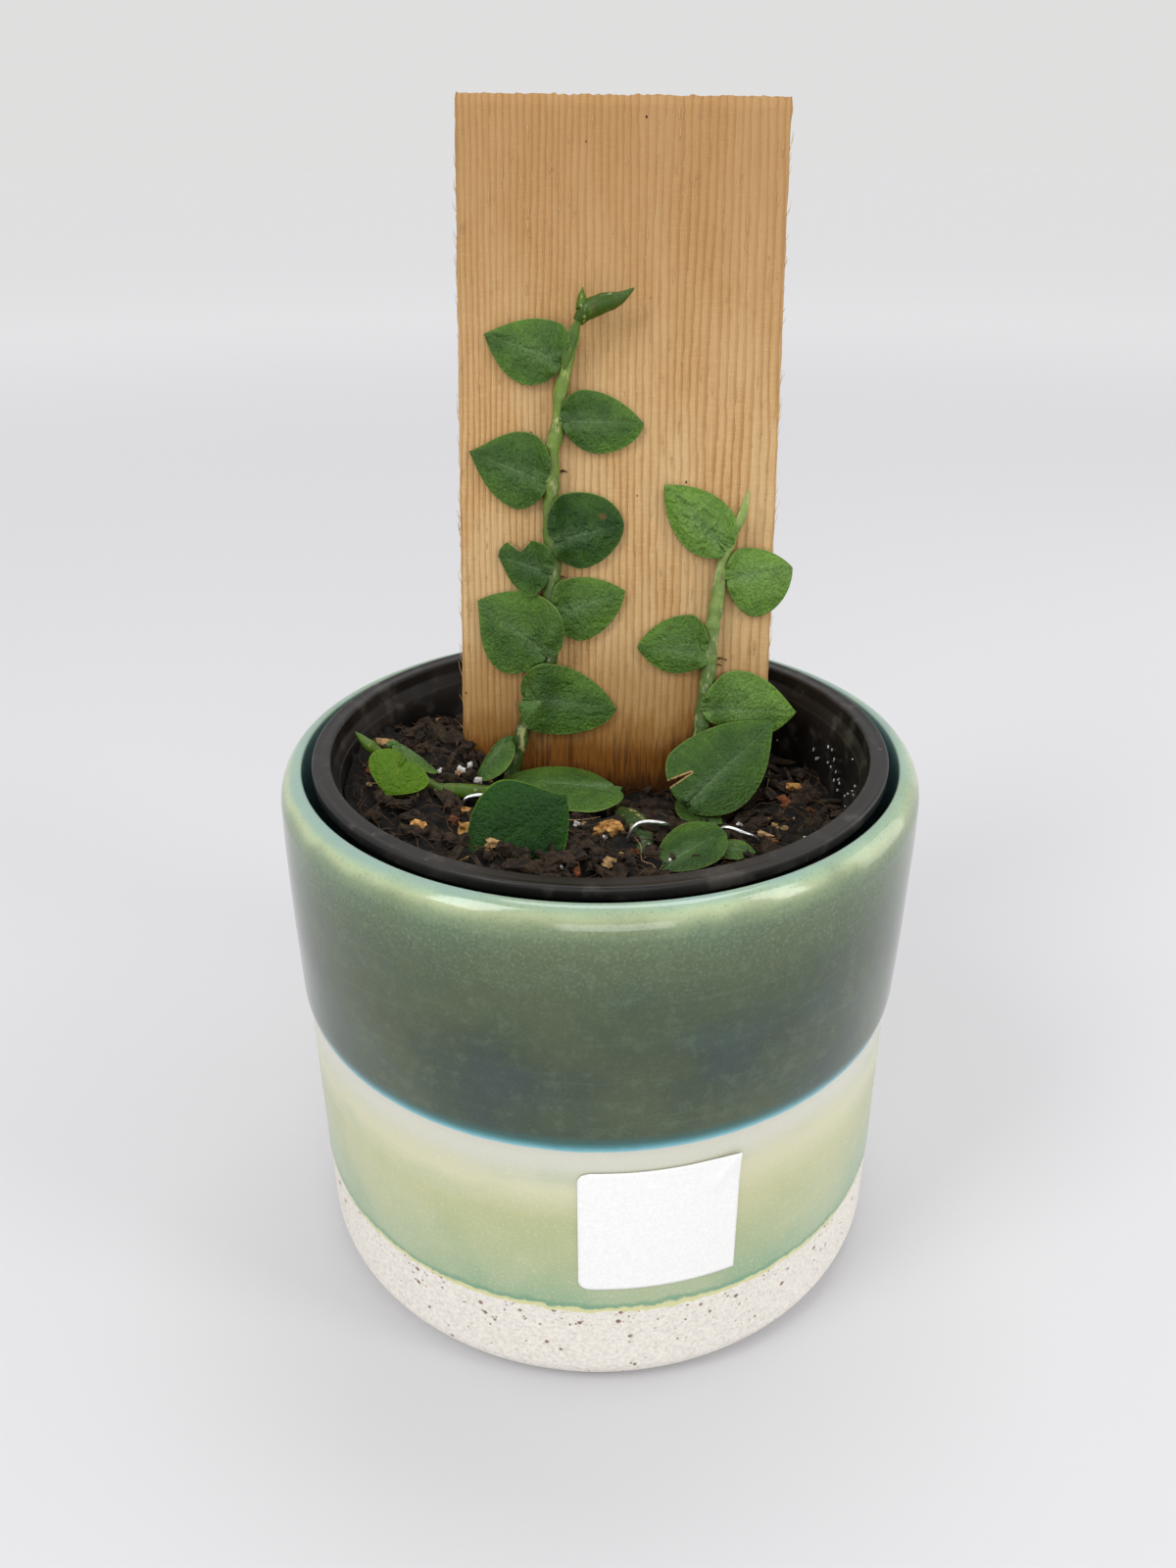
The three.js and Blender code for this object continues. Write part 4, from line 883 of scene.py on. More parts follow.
def label():
    """A thin blank label, its top right corner lifted and creased."""
    columns = LABEL_STEPS
    rows = LABEL_STEPS
    inner = COVER_LOWER_RADIUS + LABEL_GAP
    height = LABEL["top"] - LABEL["bottom"]
    width = math.radians(LABEL["to"] - LABEL["from"]) * inner
    corner = LABEL["corner"]
    vertices = []
    for depth in (0, LABEL_SHEET):
        for j in range(rows + 1):
            for i in range(columns + 1):
                across = i / columns * width
                up = j / rows * height
                near = min(up, height - up)
                inset = 0
                if near < corner:
                    inset = corner - math.sqrt(corner ** 2 - (corner - near) ** 2)
                across = inset + across * (1 - inset / width)
                x = across - (width - 7)
                y = up - (height - 9)
                crease = math.exp(-((0.8 * x - 0.6 * y) / 1.6) ** 2)
                lift = 0.35 * crease * (1 / (1 + math.exp(-(x + y))))
                lift += 0.25 / (1 + math.exp(-1.2 * (x + 0.9 * y - 9)))
                angle = math.radians(LABEL["from"]) + across / inner
                radius = inner + depth + lift
                vertices.append((radius * math.sin(angle), -radius * math.cos(angle), LABEL["bottom"] + up))
    wide = columns + 1
    sheet = (rows + 1) * wide
    faces = []
    for j in range(rows):
        for i in range(columns):
            a = j * wide + i
            faces.append((a, a + wide, a + wide + 1, a + 1))
            faces.append((sheet + a, sheet + a + 1, sheet + a + wide + 1, sheet + a + wide))
    rim = list(range(columns)) + [j * wide + columns for j in range(rows)]
    rim += [rows * wide + i for i in range(columns, 0, -1)] + [j * wide for j in range(rows, 0, -1)]
    for a, b in zip(rim, rim[1:] + rim[:1]):
        faces.append((a, b, sheet + b, sheet + a))
    make_piece("label", vertices, faces, PAPER, "label", ["label"])


# Soil

def soil_height(x, y):
    """Height of the soil's surface, without its crumbs, at a place from the nursery pot's middle."""
    level = SOIL_HEIGHT - SOIL_SLOPE * x - 0.2 * np.maximum(0, y - 25)
    for middle_x, middle_y, across, along, depth in HOLLOWS:
        far = ((x - middle_x) / across) ** 6 + ((y - middle_y) / along) ** 2
        level = level - depth * np.exp(-far)
    return level


def soil():
    """The mix in the pot: a lumpy surface on a plain body."""
    rings = 150
    segments = 400
    bottom = NURSERY_BOTTOM + NURSERY_WALL + 0.3
    angles = 2 * math.pi * np.arange(segments) / segments
    vertices = [(0, 0, soil_height(0, 0))]
    for i in range(1, rings + 1):
        share = i / rings
        reach = (wall_radius(SOIL_HEIGHT) - 2) * share
        rest = soil_height(reach * np.cos(angles), reach * np.sin(angles))
        radius = (wall_radius(rest) - 0.4) * share
        vertices.extend(zip(radius * np.cos(angles), radius * np.sin(angles), rest))
    low = wall_radius(bottom) - 0.4
    vertices.extend(zip(low * np.cos(angles), low * np.sin(angles), np.full(segments, bottom)))
    vertices.append((0, 0, bottom))
    vertices = np.array(vertices)
    top = slice(0, 1 + rings * segments)
    flat = vertices[top] * [1, 1, 0]
    lumps = rough(flat, 7, 31, 4, 0.6) * 1.5 + np.abs(noise(flat, 2.1, 41)) * 0.9
    vertices[top, 2] += lumps - 0.9
    vertices[:, :2] += NURSERY_OFFSET
    faces = [(0, 1 + k, 1 + (k + 1) % segments) for k in range(segments)]
    for i in range(rings):
        start = 1 + i * segments
        for k in range(segments):
            n = (k + 1) % segments
            faces.append((start + k, start + segments + k, start + segments + n, start + n))
    last = len(vertices) - 1
    start = 1 + rings * segments
    faces.extend((last, start + (k + 1) % segments, start + k) for k in range(segments))
    make_piece("potting_soil", vertices, faces, SOIL, "soil", ["potting_soil"])


def chunk(draw, size, middle, turn):
    """A rough lump: a box of 26 corners pushed about and turned."""
    corners = []
    index = {}
    for cell in product((-1, 0, 1), repeat=3):
        if any(cell):
            index[cell] = len(corners)
            length = math.sqrt(sum(value * value for value in cell))
            corners.append([0.62 * value / length ** 0.5 + draw.uniform(-0.22, 0.22) for value in cell])
    faces = []
    for axis, side, a, b in product(range(3), (-1, 1), (-1, 0), (-1, 0)):
        square = []
        for da, db in ((0, 0), (1, 0), (1, 1), (0, 1)):
            place = [0, 0, 0]
            place[axis] = side
            place[(axis + 1) % 3] = a + da
            place[(axis + 2) % 3] = b + db
            square.append(index[tuple(place)])
        faces.append(tuple(square if side > 0 else square[::-1]))
    return np.array(corners) * size @ np.array(turn).T + middle, faces


def turned(x, y, z):
    """A turn about X, then Y, then Z."""
    return Matrix.Rotation(z, 3, "Z") @ Matrix.Rotation(y, 3, "Y") @ Matrix.Rotation(x, 3, "X")


def place_on_soil(draw):
    """A random place on the soil, from the nursery pot's middle."""
    angle = draw.uniform(0, 2 * math.pi)
    away = math.sqrt(draw.random()) * SOIL_REACH
    return away * math.cos(angle), away * math.sin(angle)


def scatter(name, finish, count, sizes, seed, spots=()):
    """Lumps strewn on the soil, and more at spots of (x, y, z, length, width, thickness, turn)."""
    draw = random.Random(seed)
    bodies = []
    for _ in range(count):
        x, y = place_on_soil(draw)
        size = [draw.uniform(*span) for span in sizes]
        z = float(soil_height(x, y)) + size[2] * 0.3
        turn = turned(draw.uniform(-0.6, 0.6), draw.uniform(-0.6, 0.6), draw.uniform(0, 6.28))
        middle = np.array([x + NURSERY_OFFSET[0], y + NURSERY_OFFSET[1], z])
        bodies.append(chunk(draw, size, middle, turn))
    for x, y, z, long, wide, thick, degrees in spots:
        bodies.append(chunk(draw, (long, wide, thick), np.array([x, y, z]),
                            turned(0.1, 0.15, math.radians(degrees))))
    make_piece(name, *combine(bodies), finish, "soil", smooth=False)


def wall_specks():
    """Pale crumbs that stick to the nursery pot's inner wall on the right."""
    draw = random.Random(19)
    bodies = []
    for _ in range(WALL_SPECKS):
        turn = draw.gauss(-0.15, 0.34)
        z = SPECKS_LOW + SPECKS_SPAN * draw.random() ** 1.3
        reach = wall_radius(z) - 0.3
        middle = np.array([NURSERY_OFFSET[0] + reach * math.cos(turn),
                           NURSERY_OFFSET[1] + reach * math.sin(turn), z])
        size = (0.3, draw.uniform(0.2, 0.55), draw.uniform(0.2, 0.9))
        bodies.append(chunk(draw, size, middle, Matrix.Rotation(turn, 3, "Z")))
    make_piece("wall_specks", *combine(bodies), PERLITE, "soil", smooth=False)


def fibres(name, finish, count, length, radius, seed):
    """Fine curved strands that lie on the soil."""
    draw = random.Random(seed)
    bodies = []
    for _ in range(count):
        start = np.array(place_on_soil(draw))
        heading = draw.uniform(0, 2 * math.pi)
        long = draw.uniform(*length)
        path = []
        for _ in range(5):
            x, y = start
            z = float(soil_height(x, y)) + 0.5 + draw.uniform(-0.4, 1.3)
            path.append((x + NURSERY_OFFSET[0], y + NURSERY_OFFSET[1], z))
            heading += draw.uniform(-0.7, 0.7)
            start = start + long / 4 * np.array([math.cos(heading), math.sin(heading)])
            far = np.hypot(*start)
            if far > SOIL_REACH + 1:
                start = start * (SOIL_REACH + 1) / far
        bodies.append(tube(path, [radius * 0.6, radius, radius * 0.5], 4, 10)[:2])
    make_piece(name, *combine(bodies), finish, "soil")


# Stems and leaves, with the same numbers as the part's source

LEFT_STEM = [(-11.9, 102.2, 3.4), (-12.9, 99, 3), (-14.5, 92.6, 2.8), (-16.1, 85.5, 2.8),
             (-16.6, 77.9, 2.8), (-18.3, 70.1, 2.8), (-18.4, 62.2, 2.8), (-18.9, 55, 2.8),
             (-18.6, 46.3, 2.8), (-17.9, 38.3, 2.8), (-18.9, 30, 2.8), (-18.6, 14.9, 2.8),
             (-20.8, 7.5, 2.8), (-25.2, -4.5, 2.8), (-27.6, -11.6, 3), (-29.4, -18, 3.2),
             (-30.6, -27, 4)]
RIGHT_STEM = [(33.6, 51.8, 3.2), (32.4, 49.4, 3), (30.9, 45, 2.8), (29.4, 38.5, 2.8),
              (28.6, 32, 2.8), (27.3, 22.2, 2.8), (26.6, 15, 2.8), (26.2, 7, 2.8), (25.3, -2, 2.8),
              (24.8, -10, 3), (24.4, -19, 3.4), (24.4, -29, 6), (24.2, -40, 10)]
CREEPING_STEM = [(4.6, 6.4, 128.4), (5.6, 1.5, 129.4), (6.8, -4, 130.6), (7.6, -8.5, 132.6),
                 (8.8, -12.8, 134.6), (11.4, -21, 134.5), (11.9, -27.5, 132), (12.4, -32, 127)]
SHOOT = [(-20.5, -6.4, 132), (-23, -7.8, 137), (-27, -9, 139.6), (-32, -9.4, 140.2),
         (-38.4, -10.4, 141), (-42.5, -10.4, 141.5), (-45.3, -8.6, 142.3), (-48.3, -7.1, 143.3),
         (-51.9, -4.9, 144.3), (-55.3, -2.8, 145.6), (-57.8, -1.5, 147)]
SHOOT_TIP = [(-58.5, -1.2, 147.6), (-62.7, 0.9, 150), (-65.8, 3.7, 151.7)]
ROLL = [(-11.5, 103.5, 4.8), (-9.2, 105.9, 5.8), (-5.6, 107.7, 6.2), (-1, 109.1, 6), (3.6, 112, 5.4)]
SPUR = [(-10.2, 106.6, 6.2), (-10.5, 109.2, 6), (-10.3, 112, 5.6)]
SHEATH = [(-15.2, 91, 5.7), (-14.2, 95.5, 5.95), (-12.9, 99.5, 6.1), (-12, 102, 6.3), (-10.8, 104.5, 6.5)]
SPIKE = [(32.6, 48.6, 5.6), (33.6, 51.6, 5.8), (34.6, 55, 5.5), (36, 60.6, 5)]
WIRE_PINS = {
    "wire_pin_1": [(7.2, -24.2, 124), (7.9, -24.1, 133.8), (10.6, -23.5, 138.2),
                   (16.4, -23.2, 138.2), (18.7, -20.9, 135.6), (19.2, -19.6, 126)],
    "wire_pin_2": [(-36.2, -13.2, 128), (-36, -13, 137.2), (-34.4, -12.6, 140),
                   (-27.4, -12.4, 140.2), (-26, -12.4, 138.4), (-25.8, -12.4, 128)],
    "wire_pin_3": [(43, -20.6, 124), (42, -20.8, 131.6), (38.4, -21.4, 134),
                   (33.2, -19.4, 134.6), (31.6, -18.8, 131), (31.6, -18.6, 124)],
}

# Rootlets: stem, side, height up the board, length
ROOTLETS = [(LEFT_STEM, 1, 64.5, 1.9), (LEFT_STEM, 1, 35.6, 1.6), (RIGHT_STEM, 1, 12.6, 3.2),
            (RIGHT_STEM, 1, 11, 1.8)]

# name: notch (across, up), length, angle, left half, right half, tone, wrinkle height
BOARD_LEAVES = {
    "left_leaf_1": ((-16.8, 93.6), 21.4, 160.9, (8.8, 0.36, 2.1, 0.2), (9.5, 0.15, 2.9, 0.1), 0.3, 0.12),
    "left_leaf_2": ((-15.3, 78), 22.1, -0.9, (8.5, 0.24, 1.7, 0.3), (8.3, 0.43, 1, 1.1), 0.24, 0.08),
    "left_leaf_3": ((-20.9, 61.9), 22, 158.7, (9.8, 0.23, 2.4, 0.1), (10.9, 0.32, 2, -0.2), 0.2, 0.12),
    "left_leaf_4": ((-16.4, 46), 18.7, 13.9, (12, 0.23, 3.3, 1.5), (9.2, 0.29, 2.9, 0.9), 0, 0.12),
    "left_leaf_5": ((-19.6, 37.2), 14.5, 163.4, (7.8, 0.22, 1.2, 0), (7.3, 0.24, 2, 2), 0.12, 0.08),
    "left_leaf_6": ((-16.4, 25.8), 19.8, 18.6, (8.5, 0.18, 1.7, 0.4), (9.7, 0.24, 2.6, 0.6), 0.38, 0.06),
    "left_leaf_7": ((-20, 14.3), 24.4, 143, (12.1, 0.33, 1.6, -0.1), (12.7, 0.3, 3.8, 0.5), 0.36, 0.06),
    "left_leaf_8": ((-25.4, 1.6), 25.9, -6.9, (11, 0.16, 3.1, 0.5), (9.9, 0.25, 3, 1.1), 0.26, 0.05),
    "right_leaf_1": ((29.4, 44.7), 23.6, 134.6, (7.7, 0.31, 2.9, 0.4), (8.6, 0.3, 2.6, 0.2), 1.0, 0.42),
    "right_leaf_2": ((31.1, 36.1), 18.6, 9.1, (7.5, 0.25, 1.4, 0.5), (12.2, 0.38, 1.3, 1), 1.0, 0.08),
    "right_leaf_3": ((25.1, 15.2), 19.1, 177.2, (6.7, 0.4, 2.3, 0.4), (10.2, 0.22, 1.4, 0.7), 0.5, 0.1),
    "right_leaf_4": ((25.4, -0.9), 27.1, -2.7, (11.2, 0.35, 2.3, 0.1), (7.6, 0.58, 1.6, 0.2), 0.92, 0.06),
}

# name: notch, tip, the way its face looks (height and turn in degrees), halves, tone, wrinkle
FREE_LEAVES = {
    "left_leaf_9": ((-24.3, 15.7, 142.8), (-32.4, 4.8, 135.6), (60, -60),
                    (6.4, 0.59, 0.6, 1.2), (4.5, 0.15, 1.8, 1.6), 0.22, 0.05),
    "right_leaf_5": ((26, 3.2, 129.7), (50.6, 19.8, 146.9), (44, 0),
                     (14.1, 0.2, 3, 0.4), (11, 0.32, 2.8, -0.1), 0.16, 0.05),
    "right_leaf_6": ((24.4, 10, 127.1), (35.2, -4.6, 124.1), (78, 0),
                     (4.5, 0.4, 1, 0), (6, 0.38, 1.2, 0.8), 0.25, 0.04),
    "shoot_leaf_1": ((-51, -10.2, 149.2), (-54.7, -17.6, 143.1), (50, 0),
                     (8.8, 0.32, 1.4, 0.2), (8.6, 0.15, 3, 0.1), 0.4, 0.05),
    "shoot_leaf_2": ((-55.1, -0.1, 149.1), (-43.3, -2.9, 142.3), (60, 90),
                     (2.4, 0.15, 1.5, -1), (5, 0.49, 1, 1.6), 0.3, 0.03),
    "soil_leaf_1": ((-31, -38.8, 134.5), (-7.6, -29.9, 150), (30, 0),
                    (13.3, 0.56, 0.2, -0.5), (13.1, 0.45, 1.5, 0.4), 0.15, 0.04),
    "soil_leaf_2": ((4.9, 1.5, 134), (-28.4, 5.9, 134.1), (88, 0),
                    (12.9, 0.2, 4, 0), (11.5, 0.48, 0.5, 0.6), 0.28, 0.08),
    "soil_leaf_3": ((16.3, -37, 132.8), (33.1, -23.6, 135.2), (80, 0),
                    (9.3, 0.65, 0.9, 1.8), (7, 0.54, 1.6, 0.4), 0.1, 0.06),
    "soil_leaf_4": ((30.4, -26.6, 132.5), (40.5, -28.9, 132.1), (80, 0),
                    (3.8, 0.5, 1.5, 0), (4.2, 0.44, 1.5, 0), 0.2, 0.04),
}

# Where the stalks of free leaves end
LEAF_JOINTS = {"left_leaf_9": (-23.6, 17.8, 141.7), "right_leaf_5": (28.6, 13.9, 129.4),
               "shoot_leaf_1": (-51.6, -7.1, 146.3), "shoot_leaf_2": (-56.4, -0.3, 149.2),
               "soil_leaf_2": (6.6, 1, 134.9)}

# Brown spots on leaves: place on the blade and size
SPOTS = {"left_leaf_4": [(13.2, 3.6, 0.9)], "left_leaf_5": [(9.2, -4.2, 0.9)]}

# Missing wedges and the torn edges beside them, as corners on the leaf
WEDGES = {
    "left_leaf_5": [(9, -3.7), (5.6, -10.4), (14.1, -5.4)],
    "right_leaf_5": [(6.5, 5.7), (-3.1, 9.9), (-2.9, 7.5)],
}


def bezier(corners, t):
    """Places on a cubic curve with four corners."""
    a, b, c, d = (np.array(corner, float) for corner in corners)
    t = np.asarray(t)[:, None]
    return a * (1 - t) ** 3 + 3 * b * (1 - t) ** 2 * t + 3 * c * (1 - t) * t ** 2 + d * t ** 3


def half_edge(length, half, side, shares):
    """A half of the leaf's edge from the notch to the tip, as in the part's source."""
    width, widest, lobe, full = half
    w = width * side
    wide = widest * length
    turn = 5 / 9
    back = [(0, 0), (-lobe * 1.7, 0.1 * w), (wide - 0.62 * (wide + lobe), w), (wide, w)]
    front = [(wide, w), (wide + 0.5 * (length - wide), w),
             (length - (0.2 - 0.15 * full) * (length - wide), (0.26 + 0.25 * full) * w), (length, 0)]
    on_back = bezier(back, np.clip(shares / turn, 0, 1))
    on_front = bezier(front, np.clip((shares - turn) / (1 - turn), 0, 1))
    return np.where(shares[:, None] < turn, on_back, on_front)


def blade_grid(length, left, right):
    """Places on the blade for both halves, and how far out to the edge each one lies."""
    shares = np.linspace(0, 1, STATIONS + 1)
    out = np.linspace(0, 1, RINGS + 1) ** 0.9
    rib = np.column_stack([length * np.clip((shares - RIB_START) / (1 - RIB_START), 0, 1),
                           np.zeros(STATIONS + 1)])
    sides = []
    for half, side in ((left, 1), (right, -1)):
        edge = half_edge(length, half, side, shares)
        sides.append(rib[:, None, :] + (edge - rib)[:, None, :] * out[None, :, None])
    return np.array(sides), out


def leaf_matrix(base, tip, face):
    """The turn and place of a free leaf: x along its midrib, z out of its upper side."""
    height, turn = (math.radians(angle) for angle in face)
    outward = Vector((math.cos(height) * math.sin(turn), -math.cos(height) * math.cos(turn),
                      math.sin(height)))
    along = (Vector(tip) - Vector(base)).normalized()
    across = outward.cross(along).normalized()
    up = along.cross(across)
    matrix = Matrix.Translation(base) @ Matrix((along, across, up)).transposed().to_4x4()
    return np.array(matrix)


def heights_from_solid(node, matrix, flat):
    """Height of the solid blade's upper side over each place on the leaf's plane."""
    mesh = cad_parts[node].data
    corners = [np.array(v.co) / MM for v in mesh.vertices]
    back = np.linalg.inv(matrix)
    local = [Vector(p) for p in transform(corners, back)]
    tree = BVHTree.FromPolygons(local, [tuple(p.vertices) for p in mesh.polygons])
    down = Vector((0, 0, -1))
    heights = np.zeros(len(flat))
    for i, (x, y) in enumerate(flat):
        hit = tree.ray_cast(Vector((x, y, 40)), down)
        if hit[0] is None:
            hit = tree.find_nearest(Vector((x, y, heights[i - 1])))
        heights[i] = hit[0].z
    return heights


def settle(heights, passes):
    """Smooths heights over both halves of a blade, which share their midrib."""
    for _ in range(passes):
        whole = np.concatenate([heights[0][:, :0:-1], heights[1]], axis=1)
        padded = np.pad(whole, 1, mode="edge")
        whole = 0.4 * whole + 0.15 * (padded[:-2, 1:-1] + padded[2:, 1:-1]
                                      + padded[1:-1, :-2] + padded[1:-1, 2:])
        heights = np.array([whole[:, RINGS::-1], whole[:, RINGS:]])
    return heights


def blade_heights(name, matrix, grid):
    """Smooth heights of the solid blade over the grid, without the bump that its stalk makes."""
    heights = heights_from_solid(name, matrix, grid.reshape(-1, 2)).reshape(grid.shape[:3])
    heights[1, :, 0] = heights[0, :, 0]
    far = np.hypot(grid[..., 0], grid[..., 1])
    around = heights[(far > 3) & (far < 4.2)].mean()
    heights = np.where(far < 3, np.minimum(heights, around + 0.25), heights)
    return settle(heights, 10)


def blade_top(heights, places, along, reach, wrinkle, seed):
    """The upper side: flesh puffed up between wrinkles, a grooved midrib, raised lobes and a sway."""
    side = np.abs(places[..., 1])
    fall = np.clip(1.6 - 1.6 * reach, 0, 1)
    puffs = 1 - 2.2 * np.abs(noise(places, 2.6, seed)) + 0.5 * noise(places, 1.2, seed + 7)
    swell = (1.5 * wrinkle + 0.04) * puffs * fall
    groove = (0.25 + 0.3 * np.clip(1 - along / 0.35, 0, 1)) * np.exp(-(side / 0.75) ** 2)
    groove = groove * np.clip(1.15 - along, 0, 1)
    lobes = 0.28 * np.exp(-((along - 0.05) / 0.16) ** 2) * np.clip(side / 2.5, 0, 1) * (1 - reach ** 3)
    sway = 0.14 * noise(places, 8, seed + 9) * reach ** 2
    return heights + swell - groove + lobes + sway


def blade_faces(count):
    """Faces of both halves: upper side, underside (whose corners come count later) and rim."""
    wide = RINGS + 1
    faces = []
    for half in (0, 1):
        start = half * (STATIONS + 1) * wide
        turn = -1 if half else 1
        for j in range(STATIONS):
            for k in range(RINGS):
                a = start + j * wide + k
                square = (a, a + wide, a + wide + 1, a + 1)[::turn]
                faces.append(square)
                faces.append(tuple(corner + count for corner in square[::-1]))
            a = start + j * wide + RINGS
            faces.append((a, a + wide, a + wide + count, a + count)[::turn])
    return faces


def blade_marks(name, flat, places, seed):
    """How torn and how brown the blade is at each place, from 0 to 1."""
    scar = np.zeros(len(flat))
    if name in WEDGES:
        scar = np.exp(-(distance_to_lines(flat, WEDGES[name]) / 0.55) ** 2)
    spot = np.zeros(len(flat))
    for x, y, size in SPOTS.get(name, ()):
        far = np.hypot(flat[:, 0] - x, flat[:, 1] - y) / size + 0.35 * noise(places, 0.8, seed)
        spot = np.maximum(spot, np.clip(1.4 - far, 0, 1))
    return scar, spot


def cut_wedge(piece, wedge, matrix):
    """Takes a three-cornered wedge out of a blade."""
    corners = np.array([(x, y, z) for z in (-9, 16) for x, y in wedge])
    if signed_area(wedge) < 0:
        corners = corners[[0, 2, 1, 3, 5, 4]]
    faces = [(2, 1, 0), (3, 4, 5), (0, 1, 4, 3), (1, 2, 5, 4), (2, 0, 3, 5)]
    cut_away(piece, transform(corners, matrix), faces)


def leaf_blade(name, matrix, length, left, right, tone, wrinkle, finish, slot, seed, stalk):
    """A thin leaf that follows its solid blade, with marks and a stalk.

    The stalk is a function that turns the height at the notch into a path and radii."""
    grid, out = blade_grid(length, left, right)
    flat = grid.reshape(-1, 2)
    heights = blade_heights(name, matrix, grid)
    along = np.clip(grid[..., 0] / length, 0, 1)
    reach = np.broadcast_to(out, heights.shape)
    places = np.concatenate([grid, np.zeros((*grid.shape[:3], 1))], axis=3)
    top = blade_top(heights, places, along, reach, wrinkle, seed)
    thick = THIN * (1 - 0.55 * reach ** 6)
    sides = [np.concatenate([grid, level[..., None]], axis=3).reshape(-1, 3)
             for level in (top, top - thick)]
    path, radii = stalk(heights[0, 0, 0])
    stem = tube(path, radii, 12, 26)
    blade = (transform(np.vstack(sides), matrix), blade_faces(len(flat)))
    vertices, faces = combine([blade, stem[:2]])
    more = len(stem[0])
    mark = np.column_stack([along.ravel(), flat[:, 1], reach.ravel()])
    scar, spot = blade_marks(name, flat, places.reshape(-1, 3), seed)
    attributes = {"leaf": np.vstack([mark, mark, np.tile([0.05, 3, 0.3], (more, 1))]),
                  "tone": np.full(len(vertices), tone),
                  "scar": np.concatenate([scar, scar, np.zeros(more)]),
                  "spot": np.concatenate([spot, spot, np.zeros(more)])}
    piece = make_piece(name, vertices, faces, finish, slot, [name], attributes, merge=True)
    if name in WEDGES:
        cut_wedge(piece, WEDGES[name], matrix)


def signed_area(corners):
    """Twice the area of a triangle, above zero when its corners run anticlockwise."""
    (ax, ay), (bx, by), (cx, cy) = corners
    return (bx - ax) * (cy - ay) - (cx - ax) * (by - ay)


def distance_to_lines(points, corners):
    """How far each place is from the two lines that meet at the wedge's first corner."""
    best = np.full(len(points), 99.0)
    tip = np.array(corners[0], float)
    for corner in corners[1:]:
        step = np.array(corner, float) - tip
        share = np.clip((points - tip) @ step / (step @ step), 0, 1)
        best = np.minimum(best, np.linalg.norm(points - (tip + share[:, None] * step), axis=1))
    return best


def board_stalk(at, angle, notch):
    """A short stalk in the board's frame that runs on from the notch towards the stem."""
    into = np.array([math.cos(math.radians(angle)), math.sin(math.radians(angle)), 0])
    start = np.array([*at, notch - BLADE / 2])
    path = [start + 1.8 * into, start, start - 1.3 * into + [0, 0, 0.1]]
    return transform(path, BOARD), (0.3, 0.45, 0.4)


def free_stalk(matrix, joint, notch):
    """A short stalk from a free leaf's notch to its joint with the stem."""
    ends = transform([(1.6, 0, notch - BLADE / 2), (-0.4, 0, notch - BLADE / 2)], matrix)
    if joint is None:
        return ends, (0.4, 0.5)
    return np.vstack([ends, joint]), (0.6, 0.9, 1.1)


def place_leaves():
    """All leaves, on the board and free."""
    seed = 100
    for name, (at, length, angle, left, right, tone, wrinkle) in BOARD_LEAVES.items():
        turn = Matrix.Translation((*at, 0)) @ Matrix.Rotation(math.radians(angle), 4, "Z")
        matrix = BOARD @ np.array(turn)
        leaf_blade(name, matrix, length, left, right, tone, wrinkle, LEAF, "leaf", seed,
                   lambda notch: board_stalk(at, angle, notch))
        seed += SEED_STEP
    for name, (base, tip, face, left, right, tone, wrinkle) in FREE_LEAVES.items():
        length = (Vector(tip) - Vector(base)).length
        finish = {"shoot_leaf_1": LIME_LEAF, "soil_leaf_1": GLOSSY_LEAF}.get(name, LEAF)
        slot = "young_leaf" if name == "shoot_leaf_1" else "leaf"
        matrix = leaf_matrix(base, tip, face)
        leaf_blade(name, matrix, length, left, right, tone, wrinkle, finish, slot, seed,
                   lambda notch: free_stalk(matrix, LEAF_JOINTS.get(name), notch))
        seed += SEED_STEP


def stem_radii(count, top, bottom, every):
    """Radii along a stem that swells at its nodes."""
    shares = np.linspace(0, 1, count)
    radius = top + (bottom - top) * np.clip(shares * 3, 0, 1)
    step = np.arange(count) % every - every / 6
    swelling = 0.25 * np.exp(-(step / (every / 11)) ** 2)
    ring = 0.12 * np.exp(-(step / (every / 40)) ** 2)
    radius = radius + swelling - ring
    radius[:4] *= (0.35, 0.7, 0.88, 0.97)
    return radius


def climbing_stem(name, path, top, finish, seed):
    """A stem on the board, with its node swellings and the share of its length as an attribute."""
    places = transform(path, BOARD)
    radii = stem_radii(240, top, 2.15, 24)
    vertices, faces, lengths = tube(places, radii, 18, 300, seed=seed, bumps=0.1)
    make_piece(name, vertices, faces, finish, "stem", [name], {"down": lengths / lengths.max()})


def stem_across(stem, up):
    """Where a stem on the board runs at a height up the board."""
    places = np.array(stem)[::-1]
    return float(np.interp(up, places[:, 1], places[:, 0]))


def rootlets():
    """Short brown roots that leave the stems at their nodes and hold on to the board."""
    bodies = []
    for stem, side, up, long in ROOTLETS:
        start = stem_across(stem, up)
        steps = ((1.7, 0, 0.42), (2.3 + 0.4 * long, 0.2, 0.5), (2.3 + long, 0, 0.4))
        path = [(start + side * reach, up + rise * long, out) for reach, rise, out in steps]
        bodies.append(tube(transform(path, BOARD), [0.28, 0.3, 0.12], 8, 12, seed=81, bumps=0.3)[:2])
    make_piece("rootlets", *combine(bodies), ROOT, "stem")


def plain_stem(name, path, radii, finish, slot, down, seed, flat=1.0, face=None):
    """A stem or spike with a path in the object's own frame."""
    vertices, faces, _ = tube(path, radii, 14, 80, flat, seed, bumps=0.08, face=face)
    make_piece(name, vertices, faces, finish, slot, [name], {"down": np.full(len(vertices), down)})


